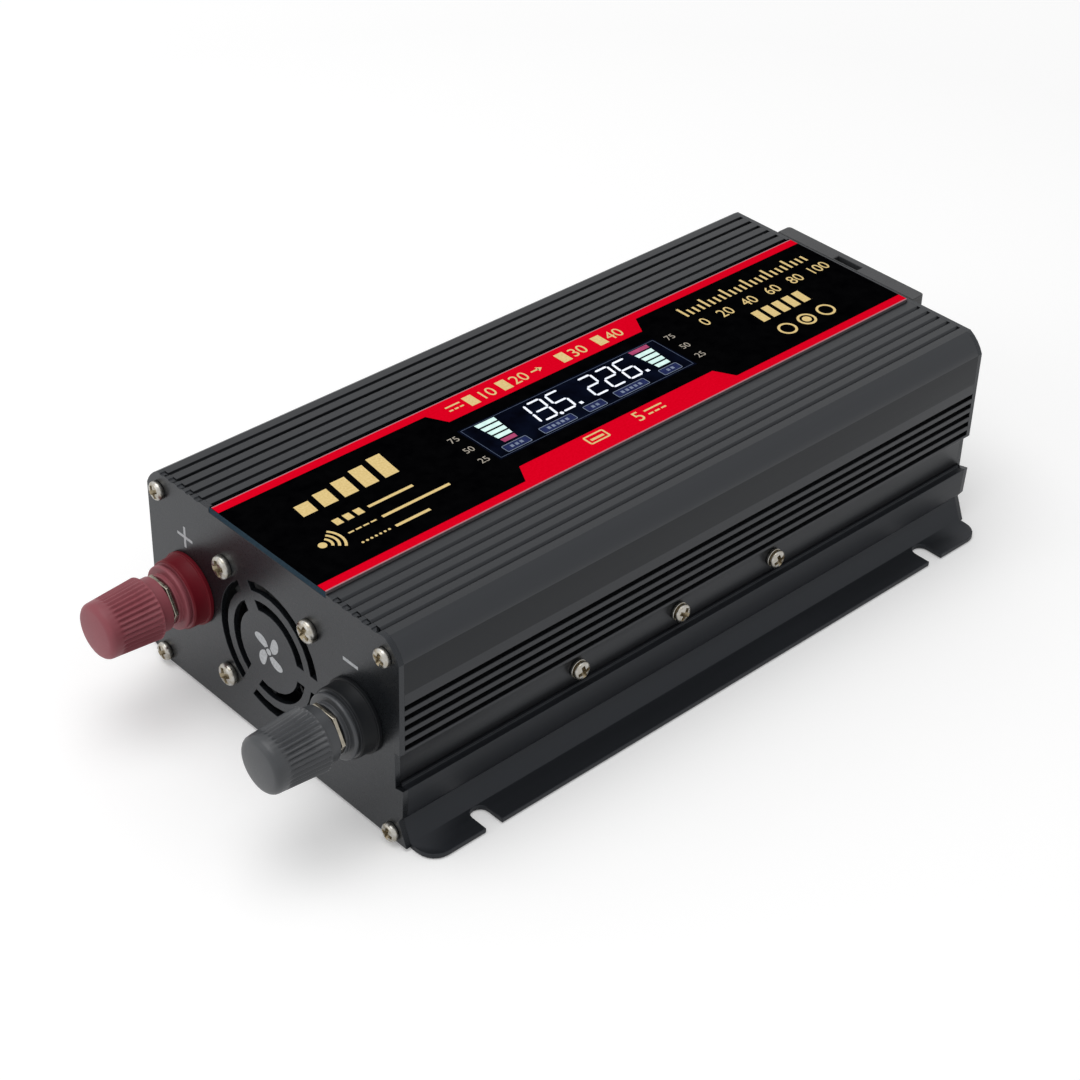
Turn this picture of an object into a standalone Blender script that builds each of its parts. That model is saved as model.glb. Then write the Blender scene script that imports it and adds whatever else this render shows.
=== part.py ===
"""Portable power inverter: finned aluminium housing, fan, binding posts, display and outlet end.

Units are metres, +Z is up. The origin is the centre of the housing's underside, and +X runs from
the battery end, with the fan and the binding posts, to the outlet end.
"""

import math

import bmesh
import bpy
from mathutils import Matrix

# Fits
FIT_GAP = 0.0003
SMOOTH_ANGLE = math.radians(32)

# Housing
HOUSING_LENGTH = 0.1958
HOUSING_HEIGHT = 0.0580
PLATE_THICKNESS = 0.0012
PLATE_LIFT = 0.0006

# Finned cover
COVER_WIDTH = 0.0932
COVER_ROOF = 0.0028
SHOULDER_WIDTH = 0.0047
SHOULDER_DROP = 0.0053
SHOULDER_BULGE = 0.0006
ROOF_LAND = 0.00405
ROOF_GROOVE_WIDTH = 0.0009
ROOF_GROOVE_DEPTH = 0.0008
ROOF_GROOVE_PITCH = 0.00336
ROOF_STEP_LENGTH = 0.0012
ROOF_STEP_DEPTH = 0.00035
SIDE_RIB_FOOT = 0.0016
SIDE_GROOVE_WIDTH = 0.00145
SIDE_GROOVE_DEPTH = 0.0015
SIDE_GROOVE_PITCH = 0.00285
SIDE_GROOVE_COUNT = 5
BAND_HEIGHT = 0.0092
BAND_INSET = 0.0017
BAND_WALL = 0.0015

# Flanged tray
TRAY_FLOOR = 0.0020
UPSTAND_HEIGHT = 0.0090
UPSTAND_WALL = 0.0018
LIP_PROUD = 0.0006
LIP_RISE = 0.00025
RIB_HEIGHT = 0.00805
RIB_PROUD = 0.0010
RIB_LEAN = 0.00035
RIB_TOP_FALL = 0.0006
RIB_UNDERCUT = 0.0017
RIB_STEP = 0.00205
SKIRT_HEIGHT = 0.00725
SKIRT_FLARE = 0.0024
FLANGE_WIDTH = 0.0075
FLANGE_THICKNESS = 0.0013
FLANGE_CORNER = 0.0050
SLOT_WIDTH = 0.0049
SLOT_FROM_END = 0.0189
SLOT_ROOT_GAP = 0.0002

# Screws, given as thread radius, head radius, head height and length under the head
PLATE_SCREW = (0.0013, 0.00245, 0.0016, 0.0080)
SIDE_SCREW = (0.0013, 0.00245, 0.0023, 0.0055)
FAN_SCREW = (0.0017, 0.0030, 0.0018, 0.0100)
SCREW_POINT_SHARE = 0.25
SCREW_CROWN_SHARE = 0.62
SCREW_EDGE_SHARE = 0.35
SCREW_RECESS_SHARE = 1.2
SCREW_RECESS_WIDTH = 0.0007
SCREW_RECESS_DEPTH = 0.0011
SCREW_HOLE_SPARE = 0.0015
SCREW_BOSS = 0.0035
COVER_SCREW_INSET = 0.0049
COVER_SCREW_DROP = 0.0052
TRAY_SCREW_INSET = 0.0029
TRAY_SCREW_HEIGHT = 0.0031
SIDE_SCREW_FIRST = 0.05445
SIDE_SCREW_PITCH = 0.0339
SIDE_SCREW_COUNT = 3
SIDE_SCREW_RISE = 0.0042

# Label and display
LABEL_WIDTH = 0.0426
LABEL_THICKNESS = 0.0014
LABEL_PROUD = 0.0007
LCD_LENGTH = 0.0663
LCD_WIDTH = 0.0155
LCD_OFFSET = -0.0018
LCD_BORDER = 0.0020
LCD_DEPTH = 0.0040

# Fan and grille
FAN_SIZE = 0.0400
FAN_DEPTH = 0.0100
FAN_CORNER = 0.0030
FAN_WALL = 0.0011
FAN_HOLE_INSET = 0.0040
FAN_BACK = 0.0020
FAN_STRUT = 0.0030
FAN_OFFSET = 0.0008
FAN_HEIGHT = 0.0283
FAN_TIP_GAP = 0.0006
FAN_HUB_RADIUS = 0.0105
FAN_HUB_WALL = 0.0012
FAN_HUB_SET_BACK = 0.0009
FAN_POST_RADIUS = 0.0040
FAN_POST_GAP = 0.0009
FAN_SHAFT_RADIUS = 0.0010
FAN_BLADES = 7
FAN_BLADE_THICKNESS = 0.0009
FAN_BLADE_SWEEP = math.radians(19)
FAN_BLADE_TWIST = math.radians(10)
GRILLE_MARGIN = 0.0005
GRILLE_SLOT = 0.0026
GRILLE_PITCH = 0.00495
GRILLE_RINGS = 2
GRILLE_BRIDGE = 0.0046
GRILLE_BRIDGES = 3

# Binding posts
TERMINAL_FROM_FAN = 0.0113
TERMINAL_HEIGHT = 0.0298
TERMINAL_RIM_RADIUS = 0.0095
TERMINAL_RIM = 0.0008
TERMINAL_BODY_RADIUS = 0.0089
TERMINAL_BODY = 0.0040
TERMINAL_GROOVE_DEPTH = 0.0009
TERMINAL_GROOVE = 0.0006
TERMINAL_RING_RADIUS = 0.0083
TERMINAL_RING = 0.0012
TERMINAL_NECK_RADIUS = 0.0064
TERMINAL_NECK = 0.0010
TERMINAL_BOSS_RADIUS = 0.0047
STUD_RADIUS = 0.0030
STUD_INSIDE = 0.0090
STUD_ENGAGEMENT = 0.0113
WASHER_FLATS = 0.0120
WASHER_THICKNESS = 0.0012
INSULATOR_RADIUS = 0.0080
INSULATOR_THICKNESS = 0.0015
NUT_FLATS = 0.0100
NUT_HEIGHT = 0.0050
HEXAGON_TURN = math.pi / 6
KNOB_LENGTH = 0.0181
KNOB_COLLAR = 0.0033
KNOB_COLLAR_RADIUS = 0.0070
KNOB_RADIUS = 0.0081
KNOB_TIP_RADIUS = 0.0072
KNOB_TIP_ROUND = 0.0019
KNOB_FLUTES = 36
KNOB_FLUTE_DEPTH = 0.0006
KNOB_FLUTE_START = 0.0004
KNOB_FLUTE_LENGTH = 0.0116
KNOB_BORE_SPARE = 0.0010

# Outlet end
MODULE_WIDTH = 0.0489
MODULE_OFFSET = 0.00245
MODULE_THICKNESS = 0.0047
MODULE_CORNER = 0.0010
MODULE_MARGIN = 0.0036
MODULE_SLOT_WIDTH = 0.0085
MODULE_SLOT_THICKNESS = 0.0022
MODULE_SLOT_DEPTH = 0.0030
PLUG_WALL = 0.0018
PLUG_LENGTH = 0.0080
PLUG_ROOF_GAP = 0.0008
PLUG_SPARE = 0.0006
CLIP_LENGTH = 0.0120
CLIP_HEIGHT = 0.0009
CLIP_RAMP = 0.0022
FACE_GAP = 0.0016
SOCKET_WIDTH = 0.0340
SOCKET_HEIGHT = 0.0250
SOCKET_RIM = 0.0016
SOCKET_RIM_THICKNESS = 0.0015
SOCKET_DEPTH = 0.0200
SOCKET_CORNER = 0.0030
PIN_HOLE_WIDTH = 0.0084
PIN_HOLE_HEIGHT = 0.0062
PIN_HOLE_CORNER = 0.0015
PIN_HOLE_SPREAD = 0.0092
PIN_HOLE_RISE = 0.0036
EARTH_HOLE_DROP = 0.0056
CONTACT_LENGTH = 0.0110
CONTACT_METAL = 0.0006
CONTACT_PINCH = 0.0010
SWITCH_WIDTH = 0.0205
SWITCH_HEIGHT = 0.0145
SWITCH_RIM = 0.00105
SWITCH_RIM_THICKNESS = 0.0016
SWITCH_DEPTH = 0.0120
SWITCH_WALL = 0.0014
SWITCH_POCKET = 0.0080
ROCKER_END_GAP = 0.0009
ROCKER_RISE = 0.0046
ROCKER_DISH = 0.0014
ROCKER_DROP = 0.0035
ROCKER_KEEL = 0.0086
ROCKER_TILT = math.radians(10)
ROCKER_PIVOT_DEPTH = 0.0022
ROCKER_PIN_RADIUS = 0.0012
ROCKER_PIN = 0.0011
USB_WIDTH = 0.0130
USB_HEIGHT = 0.0056
USB_DEPTH = 0.0140
USB_WALL = 0.0004
USB_PROUD = 0.0006
USB_BACK = 0.0030
USB_TONGUE_LENGTH = 0.0088
USB_TONGUE_THICKNESS = 0.0019
USB_TONGUE_SIDE = 0.0011
USB_FROM_PLUG = 0.0030

# Inside
BOARD_HEIGHT = 0.0103
BOARD_THICKNESS = 0.0016
BOARD_GROOVE = 0.0027
BOARD_FRONT_GAP = 0.0040
BOARD_REAR_GAP = 0.0180
TRANSFORMER_LENGTH = 0.0360
TRANSFORMER_WIDTH = 0.0260
TRANSFORMER_HEIGHT = 0.0280
TRANSFORMER_CORE = 0.0080
TRANSFORMER_BULGE = 0.0040
TRANSFORMER_FROM_FRONT = 0.0179
TRANSFORMER_GAP = 0.0140
TRANSFORMER_COUNT = 2
CAPACITOR_RADIUS = 0.0090
CAPACITOR_HEIGHT = 0.0280
CAPACITOR_CRIMP = 0.00075
CAPACITOR_FOOT = 0.0015
CAPACITOR_FROM_REAR = 0.0229
CAPACITOR_SPREAD = 0.0140
HEAT_BAR_LENGTH = 0.1200
HEAT_BAR_HEIGHT = 0.0200
HEAT_BAR_THICKNESS = 0.0030
HEAT_BAR_GAP = 0.0028
HEAT_BAR_FIN = 0.0012
HEAT_BAR_FINS = 3
TRANSISTOR_WIDTH = 0.0100
TRANSISTOR_THICKNESS = 0.0044
TRANSISTOR_HEIGHT = 0.0092
TRANSISTOR_TAB = 0.0013
TRANSISTOR_TAB_HEIGHT = 0.0155
TRANSISTOR_SPREAD = 0.0250

# Places that follow from the sizes above
HALF_LENGTH = HOUSING_LENGTH / 2
PLATE_INNER_X = HALF_LENGTH + FIT_GAP
PLATE_OUTER_X = PLATE_INNER_X + PLATE_THICKNESS
COVER_Y = COVER_WIDTH / 2
BAND_Y = COVER_Y - BAND_INSET
INNER_Y = BAND_Y - BAND_WALL
UPSTAND_Y = INNER_Y - FIT_GAP
UPSTAND_INNER_Y = UPSTAND_Y - UPSTAND_WALL
ROOF_Z = HOUSING_HEIGHT - COVER_ROOF
SHOULDER_Y = COVER_Y - SHOULDER_WIDTH
SHOULDER_Z = HOUSING_HEIGHT - SHOULDER_DROP
RIB_Y = COVER_Y + RIB_PROUD
SKIRT_TOP_Y = RIB_Y - RIB_UNDERCUT
SKIRT_FOOT_Y = SKIRT_TOP_Y + SKIRT_FLARE
FLANGE_Y = SKIRT_FOOT_Y + FLANGE_WIDTH
RIB_BOTTOM_Z = SKIRT_HEIGHT + RIB_STEP
RIB_TOP_Z = RIB_BOTTOM_Z + RIB_HEIGHT
LEDGE_Z = RIB_TOP_Z - RIB_TOP_FALL
LIP_Y = BAND_Y + LIP_PROUD
LIP_Z = RIB_TOP_Z + LIP_RISE
BAND_BOTTOM_Z = LIP_Z + FIT_GAP
BAND_TOP_Z = BAND_BOTTOM_Z + BAND_HEIGHT
LABEL_Y = LABEL_WIDTH / 2
LABEL_TOP_Z = HOUSING_HEIGHT + LABEL_PROUD
LABEL_Z = LABEL_TOP_Z - LABEL_THICKNESS
CHANNEL_Y = LABEL_Y + FIT_GAP
CHANNEL_Z = LABEL_Z - FIT_GAP
COVER_SCREW = (COVER_Y - COVER_SCREW_INSET, HOUSING_HEIGHT - COVER_SCREW_DROP)
TRAY_SCREW = (COVER_Y - TRAY_SCREW_INSET, TRAY_SCREW_HEIGHT)
SIDE_SCREW_Z = BAND_BOTTOM_Z + SIDE_SCREW_RISE
BOARD_Z = BOARD_HEIGHT + BOARD_THICKNESS
BOARD_FRONT_X = FAN_DEPTH + BOARD_FRONT_GAP - HALF_LENGTH
BOARD_REAR_X = HALF_LENGTH - BOARD_REAR_GAP
PART_Z = BOARD_Z + FIT_GAP
FAN_BORE_RADIUS = FAN_SIZE / 2 - FAN_WALL
FAN_HOLE_Y = FAN_SIZE / 2 - FAN_HOLE_INSET
FAN_AXIS = (-PLATE_INNER_X + FIT_GAP, FAN_OFFSET, FAN_HEIGHT)
TERMINAL_Y = FAN_SIZE / 2 + TERMINAL_FROM_FAN
STUD_HOLE_RADIUS = STUD_RADIUS + FIT_GAP
WASHER_Z = 2 * FIT_GAP + TERMINAL_RIM + TERMINAL_BODY + TERMINAL_GROOVE + TERMINAL_RING + TERMINAL_NECK
KNOB_Z = WASHER_Z + WASHER_THICKNESS + FIT_GAP
STUD_END_Z = KNOB_Z + STUD_ENGAGEMENT
INSULATOR_Z = -PLATE_THICKNESS - FIT_GAP
NUT_Z = INSULATOR_Z - INSULATOR_THICKNESS - FIT_GAP
MODULE_X = PLATE_OUTER_X + FIT_GAP
MODULE_FACE_X = MODULE_X + MODULE_THICKNESS
PLUG_WIDTH = MODULE_WIDTH - 2 * MODULE_MARGIN
PLUG_HALF = PLUG_WIDTH / 2
PLUG_TOP_Z = ROOF_Z - PLUG_ROOF_GAP
SOCKET_BODY_HEIGHT = SOCKET_HEIGHT - 2 * SOCKET_RIM
SOCKET_Z = PLUG_TOP_Z - PLUG_WALL - PLUG_SPARE - SOCKET_BODY_HEIGHT / 2
SWITCH_Z = SOCKET_Z - SOCKET_HEIGHT / 2 - FACE_GAP - SWITCH_HEIGHT / 2
SWITCH_BODY_WIDTH = SWITCH_WIDTH - 2 * SWITCH_RIM
SWITCH_BODY_HEIGHT = SWITCH_HEIGHT - 2 * SWITCH_RIM
SWITCH_Y = MODULE_OFFSET + PLUG_HALF - PLUG_WALL - PLUG_SPARE - SWITCH_BODY_WIDTH / 2
USB_Y = MODULE_OFFSET - PLUG_HALF + PLUG_WALL + USB_FROM_PLUG + USB_WIDTH / 2
PLUG_BOTTOM_Z = SWITCH_Z - SWITCH_BODY_HEIGHT / 2 - PLUG_SPARE - PLUG_WALL
MODULE_BOTTOM_Z = PLUG_BOTTOM_Z - MODULE_MARGIN

FINISHES = {
    'black_anodised': ((0.030, 0.031, 0.033), 0.45, 0.6),
    'label_print': ((0.004, 0.004, 0.005), 0.15, 0.0),
    'clear_lens': ((0.01, 0.012, 0.03), 0.08, 0.0),
    'display_glass': ((0.008, 0.01, 0.03), 0.2, 0.0),
    'black_abs': ((0.028, 0.029, 0.031), 0.5, 0.0),
    'fan_plastic': ((0.01, 0.01, 0.011), 0.5, 0.0),
    'nickel_screw': ((0.62, 0.58, 0.50), 0.3, 1.0),
    'nickel_brass': ((0.70, 0.64, 0.50), 0.28, 1.0),
    'red_knob': ((0.26, 0.025, 0.04), 0.42, 0.0),
    'black_knob': ((0.045, 0.047, 0.05), 0.45, 0.0),
    'nylon': ((0.65, 0.64, 0.6), 0.5, 0.0),
    'board': ((0.03, 0.12, 0.05), 0.45, 0.0),
    'ferrite': ((0.05, 0.05, 0.05), 0.6, 0.0),
    'capacitor_sleeve': ((0.02, 0.03, 0.06), 0.35, 0.0),
    'aluminium': ((0.6, 0.6, 0.61), 0.4, 1.0),
    'epoxy': ((0.015, 0.015, 0.016), 0.5, 0.0),
}

CARRIER = 'inverter'
OUTWARD_FRONT = (0, -math.pi / 2, 0)
OUTWARD_REAR = (0, math.pi / 2, 0)
AXES = {
    'X': lambda u, v, w: (w, u, v),
    'Y': lambda u, v, w: (v, w, u),
    'Z': lambda u, v, w: (u, v, w),
}


# Scene helpers
def clear_scene():
    """Empty the scene, but for the point that carries every part."""
    for item in list(bpy.data.objects):
        bpy.data.objects.remove(item, do_unlink=True)
    carrier = bpy.data.objects.new(CARRIER, None)
    bpy.context.scene.collection.objects.link(carrier)


def finish_material(name):
    """The named Principled material, made the first time it is asked for."""
    made = bpy.data.materials.get(name)
    if made is None:
        colour, roughness, metallic = FINISHES[name]
        made = bpy.data.materials.new(name)
        made.use_nodes = True
        shader = made.node_tree.nodes['Principled BSDF']
        shader.inputs['Base Color'].default_value = (*colour, 1.0)
        shader.inputs['Roughness'].default_value = roughness
        shader.inputs['Metallic'].default_value = metallic
    return made


def place(name, mesh, location=(0, 0, 0), rotation=(0, 0, 0)):
    """Link an object that shows this mesh."""
    item = bpy.data.objects.new(name, mesh)
    item.parent = bpy.data.objects[CARRIER]
    item.location = location
    item.rotation_euler = rotation
    bpy.context.scene.collection.objects.link(item)
    return item


def add_part(name, form, finish, location=(0, 0, 0), rotation=(0, 0, 0)):
    """Turn a bmesh into a named, smooth-shaded part with its finish."""
    mesh = bpy.data.meshes.new(name)
    bmesh.ops.recalc_face_normals(form, faces=form.faces)
    form.to_mesh(mesh)
    form.free()
    mesh.shade_smooth()
    mesh.set_sharp_from_angle(angle=SMOOTH_ANGLE)
    mesh.materials.append(finish_material(finish))
    return place(name, mesh, location, rotation)


def combine(part, form, operation, label):
    """Cut a tool out of a part, or join it on, in the part's own coordinates."""
    mesh = bpy.data.meshes.new(part.name + label)
    bmesh.ops.recalc_face_normals(form, faces=form.faces)
    form.to_mesh(mesh)
    form.free()
    tool = place(part.name + label, mesh, part.location, part.rotation_euler)
    tool.hide_render = True
    tool.display_type = 'WIRE'
    modifier = part.modifiers.new(label.strip('_'), 'BOOLEAN')
    modifier.operation = operation
    modifier.object = tool
    modifier.solver = 'EXACT'


def cut(part, *forms, label='_cuts'):
    combine(part, gather(forms), 'DIFFERENCE', label)


def fuse(part, *forms, label='_joins'):
    combine(part, gather(forms), 'UNION', label)


def bake(part):
    """Replace a part's mesh by its evaluated one, so that copies can share the cut shape."""
    graph = bpy.context.evaluated_depsgraph_get()
    mesh = bpy.data.meshes.new_from_object(part.evaluated_get(graph))
    for modifier in list(part.modifiers):
        bpy.data.objects.remove(modifier.object)
        part.modifiers.remove(modifier)
    part.data = mesh
    return mesh


# Form helpers
def gather(forms):
    """Several bmeshes as one."""
    whole = bmesh.new()
    for form in forms:
        mesh = bpy.data.meshes.new('gathered')
        form.to_mesh(mesh)
        form.free()
        whole.from_mesh(mesh)
        bpy.data.meshes.remove(mesh)
    return whole


def shifted(form, x=0, y=0, z=0, turn=0):
    """Turn a form about its own Z, then move it."""
    matrix = Matrix.Translation((x, y, z)) @ Matrix.Rotation(turn, 4, 'Z')
    bmesh.ops.transform(form, matrix=matrix, verts=form.verts)
    return form


def loft(rings, looped=False):
    """Skin rings of points, with caps on the two ends, or the last ring joined to the first."""
    form = bmesh.new()
    loops = [[form.verts.new(point) for point in ring] for ring in rings]
    pairs = list(zip(loops, loops[1:]))
    if looped:
        pairs.append((loops[-1], loops[0]))
    else:
        form.faces.new(loops[0])
        form.faces.new(loops[-1])
    for lower, upper in pairs:
        for i in range(len(lower)):
            form.faces.new((lower[i - 1], lower[i], upper[i], upper[i - 1]))
    return form


def prism(outline, low, high, axis='X'):
    """Extrude a flat outline along an axis. Along X the outline is (y, z), along Y (z, x)."""
    put = AXES[axis]
    return loft([[put(u, v, w) for u, v in outline] for w in (low, high)])


def circle(radius, height, count, turn=0.0):
    steps = [turn + 2 * math.pi * i / count for i in range(count)]
    return [(radius * math.cos(a), radius * math.sin(a), height) for a in steps]


def lathe(profile, count, looped=False, turn=0.0):
    """Revolve (radius, height) points about Z."""
    return loft([circle(radius, height, count, turn) for radius, height in profile], looped)


def rod(radius, low, high, count=16):
    return lathe([(radius, low), (radius, high)], count)


def rod_along_x(radius, centre, low, high, count=8):
    return prism(arc(centre, radius, 0, 2 * math.pi, count)[:-1], low, high)


def rod_along_y(radius, x, z, low, high, count=8):
    return prism(arc((z, x), radius, 0, 2 * math.pi, count)[:-1], low, high, 'Y')


def arc(centre, radius, start, end, steps):
    """Points of a circular arc, both ends included."""
    angles = [start + (end - start) * i / steps for i in range(steps + 1)]
    return [(centre[0] + radius * math.cos(a), centre[1] + radius * math.sin(a)) for a in angles]


def box(width, height, centre=(0, 0)):
    u, v = centre
    half_u, half_v = width / 2, height / 2
    return [(u - half_u, v - half_v), (u + half_u, v - half_v),
            (u + half_u, v + half_v), (u - half_u, v + half_v)]


def rounded_box(width, height, radius, centre=(0, 0), steps=4):
    points = []
    for quarter, (u, v) in enumerate(box(width - 2 * radius, height - 2 * radius, centre)):
        start = math.pi + quarter * math.pi / 2
        points += arc((u, v), radius, start, start + math.pi / 2, steps)
    return points


def bulged(start, end, bulge, steps):
    """Points from start to end that swell to the right of the way by the bulge, ends included."""
    run = (end[0] - start[0], end[1] - start[1])
    length = math.hypot(*run)
    points = []
    for i in range(steps + 1):
        t = i / steps
        out = 4 * bulge * t * (1 - t) / length
        points.append((start[0] + run[0] * t + run[1] * out, start[1] + run[1] * t - run[0] * out))
    return points


def mirrored(half, other=None):
    """A whole outline from its +y half, and its -y half where that differs."""
    return half + [(-y, z) for y, z in reversed(other or half)]


def shoulder():
    """The rounded corner between side wall and roof, from the wall up."""
    return bulged((COVER_Y, SHOULDER_Z), (SHOULDER_Y, HOUSING_HEIGHT), SHOULDER_BULGE, 4)


def roof_grooves(step_in=0.0, step_out=0.0):
    """Outline of the roof's grooves, from the shoulder in, each with a shallow step beside it if asked."""
    first = CHANNEL_Y + ROOF_LAND
    count = int((SHOULDER_Y - ROOF_GROOVE_WIDTH - first) / ROOF_GROOVE_PITCH) + 1
    root_z = HOUSING_HEIGHT - ROOF_GROOVE_DEPTH
    step_z = HOUSING_HEIGHT - ROOF_STEP_DEPTH
    points = []
    for i in reversed(range(count)):
        near = first + i * ROOF_GROOVE_PITCH - ROOF_GROOVE_WIDTH / 2
        far = near + ROOF_GROOVE_WIDTH
        points.append((far + step_out, HOUSING_HEIGHT))
        points += [(far + step_out, step_z), (far, step_z)] if step_out else []
        points += [(far, root_z), (near, root_z)]
        points += [(near, step_z), (near - step_in, step_z)] if step_in else []
        points.append((near - step_in, HOUSING_HEIGHT))
    return points


# Housing
def upper_cover():
    """Extruded shell: grooved roof with the label channel, grooved sides and the recessed screw band."""
    boss_y = COVER_SCREW[0] - SCREW_BOSS
    boss_z = COVER_SCREW[1] - SCREW_BOSS
    half = [(boss_y, ROOF_Z), (boss_y, boss_z), (INNER_Y, boss_z), (INNER_Y, BAND_BOTTOM_Z)]
    half += [(BAND_Y, BAND_BOTTOM_Z), (BAND_Y, BAND_TOP_Z), (COVER_Y, BAND_TOP_Z)]
    root_y = COVER_Y - SIDE_GROOVE_DEPTH
    for i in range(SIDE_GROOVE_COUNT):
        low = BAND_TOP_Z + SIDE_RIB_FOOT + i * SIDE_GROOVE_PITCH - SIDE_GROOVE_WIDTH / 2
        high = low + SIDE_GROOVE_WIDTH
        half += [(COVER_Y, low), (root_y, low), (root_y, high), (COVER_Y, high)]
    half += shoulder() + roof_grooves()
    half += [(CHANNEL_Y, HOUSING_HEIGHT), (CHANNEL_Y, CHANNEL_Z)]
    cover = add_part('upper_cover', prism(mirrored(half), -HALF_LENGTH, HALF_LENGTH), 'black_anodised')
    lcd = box(LCD_LENGTH + 2 * LCD_BORDER + 2 * FIT_GAP, LCD_WIDTH + 2 * LCD_BORDER + 2 * FIT_GAP,
              (LCD_OFFSET, 0))
    window = prism(lcd, ROOF_Z - COVER_ROOF, HOUSING_HEIGHT + COVER_ROOF, 'Z')
    cut(cover, window, *end_screw_holes(COVER_SCREW), *side_screw_holes())


def lower_tray():
    """Extruded base: outer rib, flared skirt, slotted flanges and the upstands behind the screw band."""
    boss_y = TRAY_SCREW[0] - SCREW_BOSS
    groove_y = UPSTAND_INNER_Y + BOARD_GROOVE
    half = [(FLANGE_Y, 0), (FLANGE_Y, FLANGE_THICKNESS), (SKIRT_FOOT_Y, FLANGE_THICKNESS)]
    half += [(SKIRT_TOP_Y, SKIRT_HEIGHT), (RIB_Y - RIB_LEAN, RIB_BOTTOM_Z), (RIB_Y, RIB_TOP_Z)]
    half += [(LIP_Y, LEDGE_Z), (LIP_Y, LIP_Z), (UPSTAND_Y, LIP_Z)]
    half += [(UPSTAND_Y, LIP_Z + UPSTAND_HEIGHT), (UPSTAND_INNER_Y, LIP_Z + UPSTAND_HEIGHT)]
    half += [(UPSTAND_INNER_Y, BOARD_Z + FIT_GAP), (groove_y, BOARD_Z + FIT_GAP)]
    half += [(groove_y, BOARD_HEIGHT - FIT_GAP), (boss_y, BOARD_HEIGHT - FIT_GAP), (boss_y, TRAY_FLOOR)]
    tray = add_part('lower_tray', prism(mirrored(half), -HALF_LENGTH, HALF_LENGTH), 'black_anodised')
    openings = []
    for end in (-1, 1):
        for side in (-1, 1):
            openings += [flange_slot(end, side), flange_corner(end, side)]
    cut(tray, *openings, *end_screw_holes(TRAY_SCREW), *side_screw_holes())


def flange_slot(end, side):
    """Cutter of one open slot: a round root beside the skirt and straight sides out past the edge."""
    x = end * (HALF_LENGTH - SLOT_FROM_END)
    radius = SLOT_WIDTH / 2
    root_y = SKIRT_FOOT_Y + SLOT_ROOT_GAP + radius
    outline = [(u, side * v) for u, v in arc((x, root_y), radius, -math.pi, 0, 8)]
    outline += [(x + radius, side * (FLANGE_Y + radius)), (x - radius, side * (FLANGE_Y + radius))]
    return prism(outline, -FLANGE_THICKNESS, 2 * FLANGE_THICKNESS, 'Z')


def flange_corner(end, side):
    """Cutter that rounds one outer corner of the flange."""
    x, y = HALF_LENGTH - FLANGE_CORNER, FLANGE_Y - FLANGE_CORNER
    out_x, out_y = HALF_LENGTH + FLANGE_CORNER, FLANGE_Y + FLANGE_CORNER
    outline = [(out_x, y)] + arc((x, y), FLANGE_CORNER, 0, math.pi / 2, 6) + [(x, out_y), (out_x, out_y)]
    outline = [(end * u, side * v) for u, v in outline]
    return prism(outline, -FLANGE_THICKNESS, 2 * FLANGE_THICKNESS, 'Z')


def end_screw_holes(place_yz):
    """Pilot holes for plate screws, in both ends and on both sides of an extrusion."""
    radius, _, _, length = PLATE_SCREW
    depth = length + SCREW_HOLE_SPARE
    spans = ((-HALF_LENGTH - depth, -HALF_LENGTH + depth), (HALF_LENGTH - depth, HALF_LENGTH + depth))
    y, z = place_yz
    centres = [(side * y, z) for side in (-1, 1)]
    return [rod_along_x(radius + FIT_GAP, centre, low, high) for centre in centres for low, high in spans]


def side_screw_places():
    first = SIDE_SCREW_FIRST - HALF_LENGTH
    return [first + i * SIDE_SCREW_PITCH for i in range(SIDE_SCREW_COUNT)]


def side_screw_holes():
    """Holes through band and upstand for the side screws."""
    radius = SIDE_SCREW[0] + FIT_GAP
    low, high = UPSTAND_INNER_Y - UPSTAND_WALL, COVER_Y
    spans = ((low, high), (-high, -low))
    return [rod_along_y(radius, x, SIDE_SCREW_Z, a, b) for x in side_screw_places() for a, b in spans]


def plate_outline():
    """Half outline of both end plates, up to the roof: the housing's profile, without flanges and grooves."""
    lean = SKIRT_FLARE / (SKIRT_HEIGHT - FLANGE_THICKNESS)
    foot_y = SKIRT_TOP_Y + lean * (SKIRT_HEIGHT - PLATE_LIFT)
    half = [(foot_y, PLATE_LIFT), (SKIRT_TOP_Y, SKIRT_HEIGHT), (RIB_Y - RIB_LEAN, RIB_BOTTOM_Z)]
    half += [(RIB_Y, RIB_TOP_Z), (BAND_Y, LEDGE_Z), (BAND_Y, BAND_TOP_Z), (COVER_Y, BAND_TOP_Z)]
    return half + shoulder()


def plate_screw_holes(x):
    radius = PLATE_SCREW[0] + FIT_GAP
    low, high = sorted((x - 2 * PLATE_THICKNESS, x + 2 * PLATE_THICKNESS))
    places = [(side * y, z) for side in (-1, 1) for y, z in (COVER_SCREW, TRAY_SCREW)]
    return [rod_along_x(radius, centre, low, high) for centre in places]


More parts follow.
